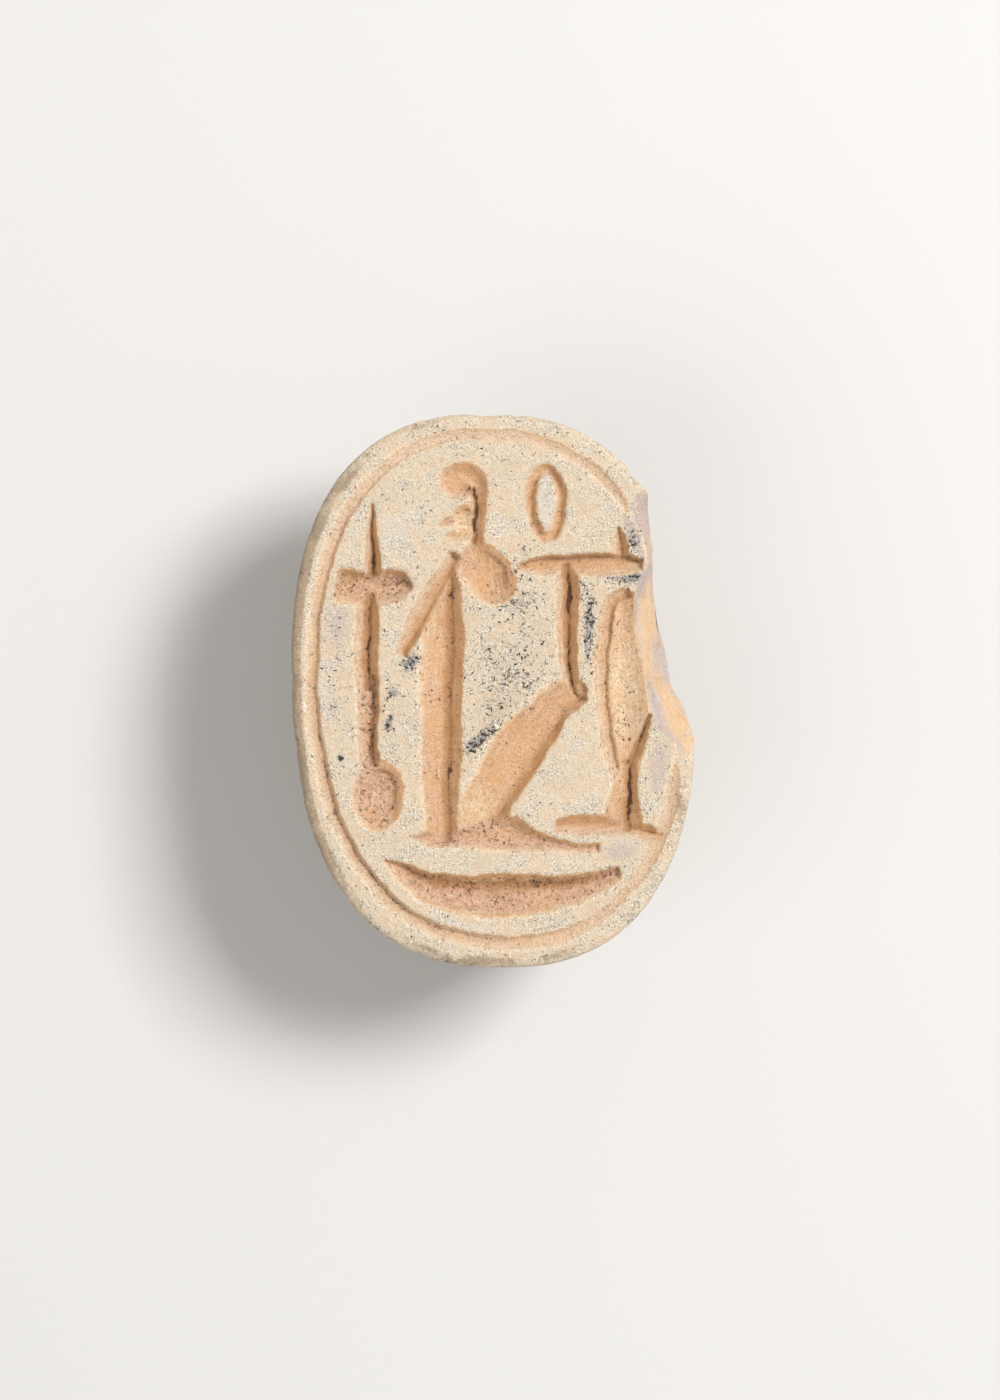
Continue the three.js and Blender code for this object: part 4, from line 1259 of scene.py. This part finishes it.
class Socket:
    """A node's output. Sums and products with it add Math nodes to its tree."""

    def __init__(self, bench, socket):
        self.bench = bench
        self.socket = socket

    def math(self, operation, *others, clamp=False):
        """A Math node of this value and the others."""
        settings = {"operation": operation, "use_clamp": clamp}
        values = dict(enumerate((self, *others)))
        return self.bench.node("ShaderNodeMath", settings, values)

    def __add__(self, other):
        return self.math("ADD", other)

    def __mul__(self, other):
        return self.math("MULTIPLY", other)

    def __sub__(self, other):
        return self.math("SUBTRACT", other)

    def __rsub__(self, other):
        return self.bench.node("ShaderNodeMath", {"operation": "SUBTRACT"}, {0: other, 1: self})

    __radd__ = __add__
    __rmul__ = __mul__

    def clamped(self):
        """The value kept between 0 and 1."""
        return self.math("ADD", 0.0, clamp=True)

    def between(self, start, end):
        """0 below start and 1 above end, smooth between them."""
        inputs = {"Value": self, "From Min": start, "From Max": end}
        return self.bench.node("ShaderNodeMapRange", {"interpolation_type": "SMOOTHSTEP"}, inputs)


class Bench:
    """Adds nodes to one tree and hands back their outputs."""

    def __init__(self, tree):
        self.tree = tree
        tree.nodes.clear()

    def node(self, kind, settings=None, inputs=None, output=0):
        """A node with its settings and inputs. Hands back one output, or the node if it has none."""
        made = self.tree.nodes.new(kind)
        for name, value in (settings or {}).items():
            setattr(made, name, value)
        for key, value in (inputs or {}).items():
            self.feed(made.inputs[key], value)
        return Socket(self, made.outputs[output]) if made.outputs else made

    def feed(self, target, value):
        """Links an output to an input, or sets a constant on it. A colour gets its fourth value."""
        if isinstance(value, Socket):
            self.tree.links.new(value.socket, target)
        elif hasattr(target.default_value, "__len__") and len(value) == 3 and len(target.default_value) == 4:
            target.default_value = (*value, 1)
        else:
            target.default_value = value

    def field(self, name):
        """An attribute of the mesh."""
        return self.node("ShaderNodeAttribute", {"attribute_name": name}, output="Fac")

    def mix(self, share, first, second):
        """One colour over another by a share."""
        inputs = {0: share, 6: first, 7: second}
        return self.node("ShaderNodeMix", {"data_type": "RGBA"}, inputs, output=2)

    def layers(self, ground, layers):
        """Colours laid over a ground one after the other, each by its share."""
        for share, colour in layers:
            ground = self.mix(share, ground, colour)
        return ground

    def noise(self, place, scale, detail, roughness, distortion=0.0):
        """Soft noise round 0.5."""
        inputs = {"Vector": place, "Scale": scale, "Detail": detail, "Roughness": roughness,
                  "Distortion": distortion}
        return self.node("ShaderNodeTexNoise", inputs=inputs)


class StonePlaces:
    """Noises, fields and slopes by which the stone's colours are mixed."""

    def __init__(self, bench):
        place = bench.node("ShaderNodeTexCoord", output="Object")
        place = bench.node("ShaderNodeVectorMath", {"operation": "SCALE"}, {0: place, "Scale": 1 / MM})
        for name, settings in NOISES.items():
            setattr(self, name, bench.noise(place, *settings))
        for name in STONE_FIELDS:
            setattr(self, name, bench.field(name))
        shifted = bench.node("ShaderNodeMapping", inputs={
            "Vector": place, "Location": (3.3, 7.7, 1.9), "Rotation": (0.4, 0.3, 0.5)})
        self.flecks = bench.noise(shifted, 8.5, 3, 0.72, 0.5)
        tool_way = bench.node("ShaderNodeCombineXYZ", inputs={"X": self.across * 9.0, "Y": self.along * 1.2})
        self.streaks = bench.noise(tool_way, 1.0, 4, 0.7)
        drawn_out = bench.node("ShaderNodeMapping", inputs={
            "Vector": place, "Scale": (1.0, 0.35, 1.0), "Rotation": (0, 0, 0.15)})
        self.swirl = bench.noise(drawn_out, 3.2, 4, 0.65, 1.2)
        normal = bench.node("ShaderNodeNewGeometry", output="Normal")
        up = bench.node("ShaderNodeSeparateXYZ", inputs={0: normal}, output=2)
        self.steep = (1 - up.math("ABSOLUTE")).between(0.08, 0.4)
        self.ragged = self.level + (self.mottle - 0.5) * 0.7 + (self.grain - 0.5) * 0.6
        self.cut = self.ragged.between(0.36, 0.46)
        pitted = self.flecks + self.rough * 0.055 + self.pale * 0.045 + (self.patchy - 0.5) * 0.25
        self.holes = pitted.between(0.65, 0.69)


def skin_colour(bench, at, colours):
    """Cream skin: chalky, lilac, cool and orange patches, grit, crushed grains and pale lips, which are
    partly a painted highlight.
    """
    uneven = (at.patchy + at.mottle + at.grain * 2) * 0.25
    cool = at.patchy.between(0.48, 0.66) * 0.16 + at.broad.between(0.48, 0.62) * 0.08
    orange = at.broad.between(0.52, 0.4) * at.patchy.between(0.5, 0.4) * 0.25
    sandy = at.patchy.between(0.42, 0.58) * 0.7 + 0.2
    grains = (at.grain.between(0.52, 0.6) * 0.7 + at.fine.between(0.51, 0.59) * 0.7) * sandy
    crushed = (at.fine.between(0.48, 0.4) * 0.8 + at.grain.between(0.45, 0.37) * 0.5) * sandy
    # Pale lips beside the cuts, weaker where the edge faces away from the light: partly the edges' own pale
    # colour, partly painted highlight
    lip = at.halo.between(0.5, 0.95) * (1.0 - at.lee * 0.5) * (at.grain + at.fine).between(1.14, 0.94)
    lip_colour = bench.mix(at.mottle.between(0.4, 0.6) * 0.6, colours.glint, colours.peach)
    return bench.layers(colours.skin, (
        (uneven.between(0.42, 0.58), colours.skin_pale_and_highlight),
        ((at.chalk + (at.patchy - 0.47) * 2.0).between(0.1, 0.7) * 0.6, colours.chalk),
        ((at.lilac * (at.broad + 0.5)).between(0.2, 0.8) * 0.8, colours.lilac),
        (cool, colours.skin_green),
        (at.halo * at.mottle.between(0.35, 0.6) * 0.7, colours.peach),
        (orange, colours.peach),
        (grains.clamped() * 0.75, colours.grit),
        (crushed.clamped(), colours.glint),
        (lip * 0.8, lip_colour),
    ))


def floor_colour(bench, at, colours):
    """Cuts: salmon floors, ochre patches, bright grains, grit, pits, dark keels, painted highlights towards
    the light and painted ochre shade away from it.
    """
    pinkish = at.rough + (at.patchy * 0.6 + at.streaks * 0.4).between(0.48, 0.58) * 0.8
    streaky = at.streaks.between(0.44, 0.64) * 0.55 + at.pale * 0.7
    ochre = at.broad.between(0.5, 0.62) * at.streaks.between(0.55, 0.4) * 0.4
    # Painted highlight: the cuts' edges that face the light turn pale orange
    lit_edge = at.ragged.between(1.0, 0.5) * (1 - at.lee) * at.mottle.between(0.3, 0.5)
    # Painted shade: the steep walls that face away from the light take the walls' ochre
    lee_wall = (at.steep * 0.6 + at.ragged.between(1.0, 0.6) * 0.4) * at.lee * 0.8
    # Painted highlight: the steep walls that face the light turn pale cream
    lit_wall = at.steep * (1 - at.lee) * at.mottle.between(0.35, 0.55) * 0.6
    sparkle = at.grain.between(0.44, 0.36) * (0.25 + at.rough * 0.25) + at.fine.between(0.42, 0.34) * 0.25
    sparkle = sparkle + at.pale * at.grain.between(0.5, 0.42) * 0.5
    grit = at.grain.between(0.55, 0.63) * (0.2 + at.rough * 0.4) + at.pit * at.rough * 0.4
    grit = grit + at.fine.between(0.56, 0.64) * 0.2
    shaded = (at.shade + (at.mottle - 0.5) * 0.9 + (at.streaks - 0.5) * 0.6).between(0.2, 1.0)
    keel_line = (at.keel + (at.mottle + at.grain - 1) * 1.9 + (at.patchy - 0.5) * 2.4).between(0.5, 0.85)
    return bench.layers(colours.floor, (
        (pinkish.clamped(), colours.floor_pink),
        (streaky.clamped(), colours.peach),
        (ochre, colours.wall),
        (lit_edge * 0.75, colours.lit_edge),
        (lee_wall, colours.wall),
        (lit_wall, colours.skin_pale_and_highlight),
        (at.pale * at.patchy.between(0.4, 0.55) * 0.5, colours.lit_edge),
        (sparkle.clamped(), colours.skin_pale_and_highlight),
        (grit.clamped(), colours.brown),
        (shaded * 0.8, colours.brown),
        (at.holes * 0.65, colours.keel),
        (keel_line * 0.88, colours.keel),
    ))


def break_colour(bench, at, colours):
    """Broken stone: lilac and peach swirls, with a dark seam along its start."""
    return bench.layers(colours.lilac, (
        ((at.warm + (at.swirl - 0.5) * 2.4).between(0.1, 0.9), colours.peach),
        (at.swirl.between(0.5, 0.66) * 0.5, colours.floor),
        (at.swirl.between(0.46, 0.34) * 0.5, colours.chalk),
        (at.grain.between(0.54, 0.64) * 0.3, colours.skin_green),
        (at.seam * 0.7, colours.smudge),
    ))


def stone_material(colours):
    """Worn pale stone: skin and cuts, with painted highlights and shade, and break, under grey smears, dark
    spots and brown grime that is partly painted shade.
    """
    material = bpy.data.materials.new("carved_stone")
    material.use_nodes = True
    bench = Bench(material.node_tree)
    at = StonePlaces(bench)
    worn = at.line * (1 - at.shade) * (at.mottle.between(0.35, 0.6) * 0.3 + 0.45)
    broken = (at.broken + (at.mottle - 0.5) * 0.8 + (at.swirl - 0.5) * 0.8).between(0.4, 0.55)
    bare = (1 - at.cut * 0.8) * (1 - broken * 0.7)
    smudge = (at.smear + (at.mottle - 0.5) * 2.2 + (at.grain - 0.5)).between(0.45, 1.1) * 0.7
    specks = (at.flecks + (at.patchy - 0.5) * 0.15 + at.smear * 0.12).between(0.655, 0.67)
    blotted = (at.blots + (at.patchy - 0.5) * 0.1 + at.smear * 0.13).between(0.69, 0.7)
    spots = specks.math("MAXIMUM", blotted)
    # Mottled brown grime, which on the rim's left side is partly painted shade
    mottling = (at.patchy - 0.5) * 1.4 + (at.mottle - 0.5) * 1.4 + (at.grain - 0.5) * 1.2
    grime_and_shade = (at.grime_and_rim_shade + mottling).between(0.35, 0.95) * at.grime_and_rim_shade.between(0.0, 0.15)
    shade = bench.layers(skin_colour(bench, at, colours), (
        ((at.cut * (1 - worn)).clamped(), floor_colour(bench, at, colours)),
        (broken, break_colour(bench, at, colours)),
        (smudge * bare, colours.smudge),
        (spots * bare * 0.92, colours.soot),
        (grime_and_shade * 0.75, colours.grime_and_rim_shade),
    ))
    ridge = at.grain * 0.7 + at.mottle * 0.7 + at.fine * 0.3 - spots * 0.6 - at.holes * at.cut * 0.5
    bump = bench.node("ShaderNodeBump", inputs={
        "Height": ridge, "Strength": 1.0, "Distance": BUMP_HEIGHT * MM})
    shader = bench.node("ShaderNodeBsdfPrincipled", inputs={
        "Base Color": shade, "Roughness": at.mottle * 0.25 + 0.5, "Normal": bump,
        "Specular IOR Level": 0.4})
    bench.node("ShaderNodeOutputMaterial", inputs={"Surface": shader})
    return material


def worn_skin_tree():
    """Geometry Nodes that raise the grain, the hand-cut waves and the pits along the normals."""
    tree = bpy.data.node_groups.new("worn_skin", "GeometryNodeTree")
    bench = Bench(tree)
    tree.interface.new_socket("Seal", in_out="INPUT", socket_type="NodeSocketGeometry")
    for name in ("Grain depth", "Grain size", "Wave depth", "Wave size", "Pit depth", "Chip depth", "Seed"):
        tree.interface.new_socket(name, in_out="INPUT", socket_type="NodeSocketFloat")
    tree.interface.new_socket("Stone", in_out="INPUT", socket_type="NodeSocketMaterial")
    tree.interface.new_socket("Seal", in_out="OUTPUT", socket_type="NodeSocketGeometry")
    given = tree.nodes.new("NodeGroupInput")
    value = {socket.name: Socket(bench, socket) for socket in given.outputs if socket.name}

    def noise(size, detail):
        """Noise in three dimensions, fixed by the seed."""
        scale = bench.node("ShaderNodeMath", {"operation": "DIVIDE"}, {0: 1.0, 1: value[size]})
        inputs = {"W": value["Seed"], "Scale": scale, "Detail": detail, "Roughness": 0.6}
        return bench.node("ShaderNodeTexNoise", {"noise_dimensions": "4D"}, inputs)

    def named(name):
        """An attribute that the carving wrote."""
        return bench.node("GeometryNodeInputNamedAttribute", {"data_type": "FLOAT"}, {"Name": name})

    grain = (noise("Grain size", 2.0) - 0.5) * value["Grain depth"] * 2
    roughened = 1 + named("rough") * 2.5 + named("grime_and_rim_shade") * 1.5 - named("broken") * 0.6
    broad = noise("Wave size", 4.0)
    wave = (broad - 0.5) * value["Wave depth"] * 2
    chips = broad.between(0.52, 0.66) * named("rim") * value["Chip depth"]
    pitted = (named("rough") * 0.7 + named("smear") * 0.4).clamped()
    pit = noise("Grain size", 1.0).between(0.53, 0.66)
    rise = grain * roughened + wave - pit * pitted * value["Pit depth"] - chips
    normal = bench.node("GeometryNodeInputNormal")
    offset = bench.node("ShaderNodeVectorMath", {"operation": "SCALE"}, {0: normal, "Scale": rise})
    moved = bench.node("GeometryNodeSetPosition", inputs={"Geometry": value["Seal"], "Offset": offset})
    kept = bench.node("GeometryNodeStoreNamedAttribute", {"data_type": "FLOAT", "domain": "POINT"},
                      {"Geometry": moved, "Name": "pit", "Value": pit})
    real = bench.node("GeometryNodeRealizeInstances", inputs={"Geometry": kept})
    painted = bench.node("GeometryNodeSetMaterial", inputs={"Geometry": real, "Material": value["Stone"]})
    bench.node("NodeGroupOutput", inputs={"Seal": painted})
    return tree


def wear_skin(piece, cuts, material):
    """Gives a piece its material and its worn skin, as part of its mesh."""
    modifier = piece.modifiers.new("Worn skin", "NODES")
    modifier.node_group = worn_skin_tree()
    inputs = {
        "Grain depth": cuts.grain_depth, "Grain size": cuts.grain_size, "Wave depth": cuts.wave_depth,
        "Wave size": cuts.wave_size, "Pit depth": cuts.pit_depth, "Chip depth": cuts.chip_depth,
        "Seed": float(cuts.seed), "Stone": material,
    }
    for socket in modifier.node_group.interface.items_tree:
        if socket.in_out == "INPUT" and socket.name in inputs:
            modifier[socket.identifier] = inputs[socket.name]
    replace_mesh(piece)


class SEAL_OT_carve_stone(Operator):
    """Carve the whole seal: plate, picture, legs, back, head and string hole"""

    bl_idname = "seal.carve_stone"
    bl_label = "Carve the stone"

    def execute(self, context):
        cuts = context.scene.seal_cuts
        points, faces = body_arrays(cuts)
        seal = mesh_object("carved_seal", points, faces)
        outward(seal)
        for part in head_parts():
            combine(seal, part, "UNION")
        combine(seal, bore_object(), "DIFFERENCE")
        paint_fields(seal, cuts)
        wear_skin(seal, cuts, stone_material(context.scene.seal_colours))
        for polygon in seal.data.polygons:
            polygon.use_smooth = True
        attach(seal, BODY)
        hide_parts(NODE)
        return {"FINISHED"}


def plain_material(name, colour):
    """A matt material of one colour."""
    material = bpy.data.materials.new(name)
    material.use_nodes = True
    shader = material.node_tree.nodes["Principled BSDF"]
    shader.inputs["Base Color"].default_value = (*colour, 1)
    shader.inputs["Roughness"].default_value = 0.9
    return material


def area_light(name, power, size, place, target):
    """A square lamp that points at a target."""
    light = bpy.data.lights.new(name, "AREA")
    light.energy, light.size = power, size
    holder = bpy.data.objects.new(name, light)
    holder.location = place
    holder.rotation_euler = (Vector(target) - Vector(place)).to_track_quat("-Z", "Y").to_euler()
    bpy.context.scene.collection.objects.link(holder)


class SEAL_OT_set_stage(Operator):
    """Lay a pale floor and set the lights and the camera that looks down on the face"""

    bl_idname = "seal.set_stage"
    bl_label = "Set the stage"

    def execute(self, context):
        stage = context.scene.seal_stage
        floor = bpy.data.meshes.new("floor")
        corners = [(x * FLOOR_HALF, y * FLOOR_HALF, 0) for x, y in ((-1, -1), (1, -1), (1, 1), (-1, 1))]
        floor.from_pydata(corners, [], [(0, 1, 2, 3)])
        floor.materials.append(plain_material("pale_floor", FLOOR_COLOUR))
        ground = bpy.data.objects.new("floor", floor)
        context.scene.collection.objects.link(ground)
        top = (0, 0, HEIGHT * MM)
        area_light("key", stage.key_power, KEY_SIZE, KEY_PLACE, top)
        area_light("fill", stage.fill_power, FILL_SIZE, FILL_PLACE, top)
        world = bpy.data.worlds.new("studio")
        world.use_nodes = True
        sky = world.node_tree.nodes["Background"]
        sky.inputs["Color"].default_value = SKY_COLOUR
        sky.inputs["Strength"].default_value = stage.sky
        context.scene.world = world
        context.scene.view_settings.view_transform = "Standard"
        camera = bpy.data.cameras.new("camera")
        camera.lens, camera.sensor_width = stage.lens, SENSOR
        camera.clip_start, camera.clip_end = NEAREST_SEEN, FARTHEST_SEEN
        holder = bpy.data.objects.new("camera", camera)
        distance = stage.picture_height * stage.lens / SENSOR
        holder.location = (CAMERA_ASIDE * MM, CAMERA_BELOW * MM, HEIGHT * MM + distance)
        context.scene.collection.objects.link(holder)
        context.scene.camera = holder
        return {"FINISHED"}


class SEAL_PT_panel(Panel):
    """Lists the operators and their sizes and colours"""

    bl_idname = "SEAL_PT_panel"
    bl_label = "Scarab seal"
    bl_space_type = "VIEW_3D"
    bl_region_type = "UI"
    bl_category = "Seal"

    def draw(self, context):
        layout = self.layout
        for name, group in SETTINGS.items():
            for prop in group.__annotations__:
                layout.prop(getattr(context.scene, name), prop)
        for operator in OPERATORS:
            layout.operator(operator.bl_idname)


OPERATORS = (SEAL_OT_carve_stone, SEAL_OT_set_stage)
SETTINGS = {"seal_cuts": SealCutSizes, "seal_colours": SealColours, "seal_stage": SealStageSizes}
CLASSES = (*SETTINGS.values(), *OPERATORS, SEAL_PT_panel)


def register():
    """Adds the panel, the operators and the settings to Blender."""
    for item in CLASSES:
        bpy.utils.register_class(item)
    for name, group in SETTINGS.items():
        setattr(bpy.types.Scene, name, PointerProperty(type=group))


def unregister():
    """Takes them out again."""
    for name in reversed(SETTINGS):
        delattr(bpy.types.Scene, name)
    for item in reversed(CLASSES):
        bpy.utils.unregister_class(item)


def main():
    """Builds the seal and its stage."""
    register()
    bpy.ops.seal.carve_stone()
    bpy.ops.seal.set_stage()


if __name__ == "__main__":
    main()
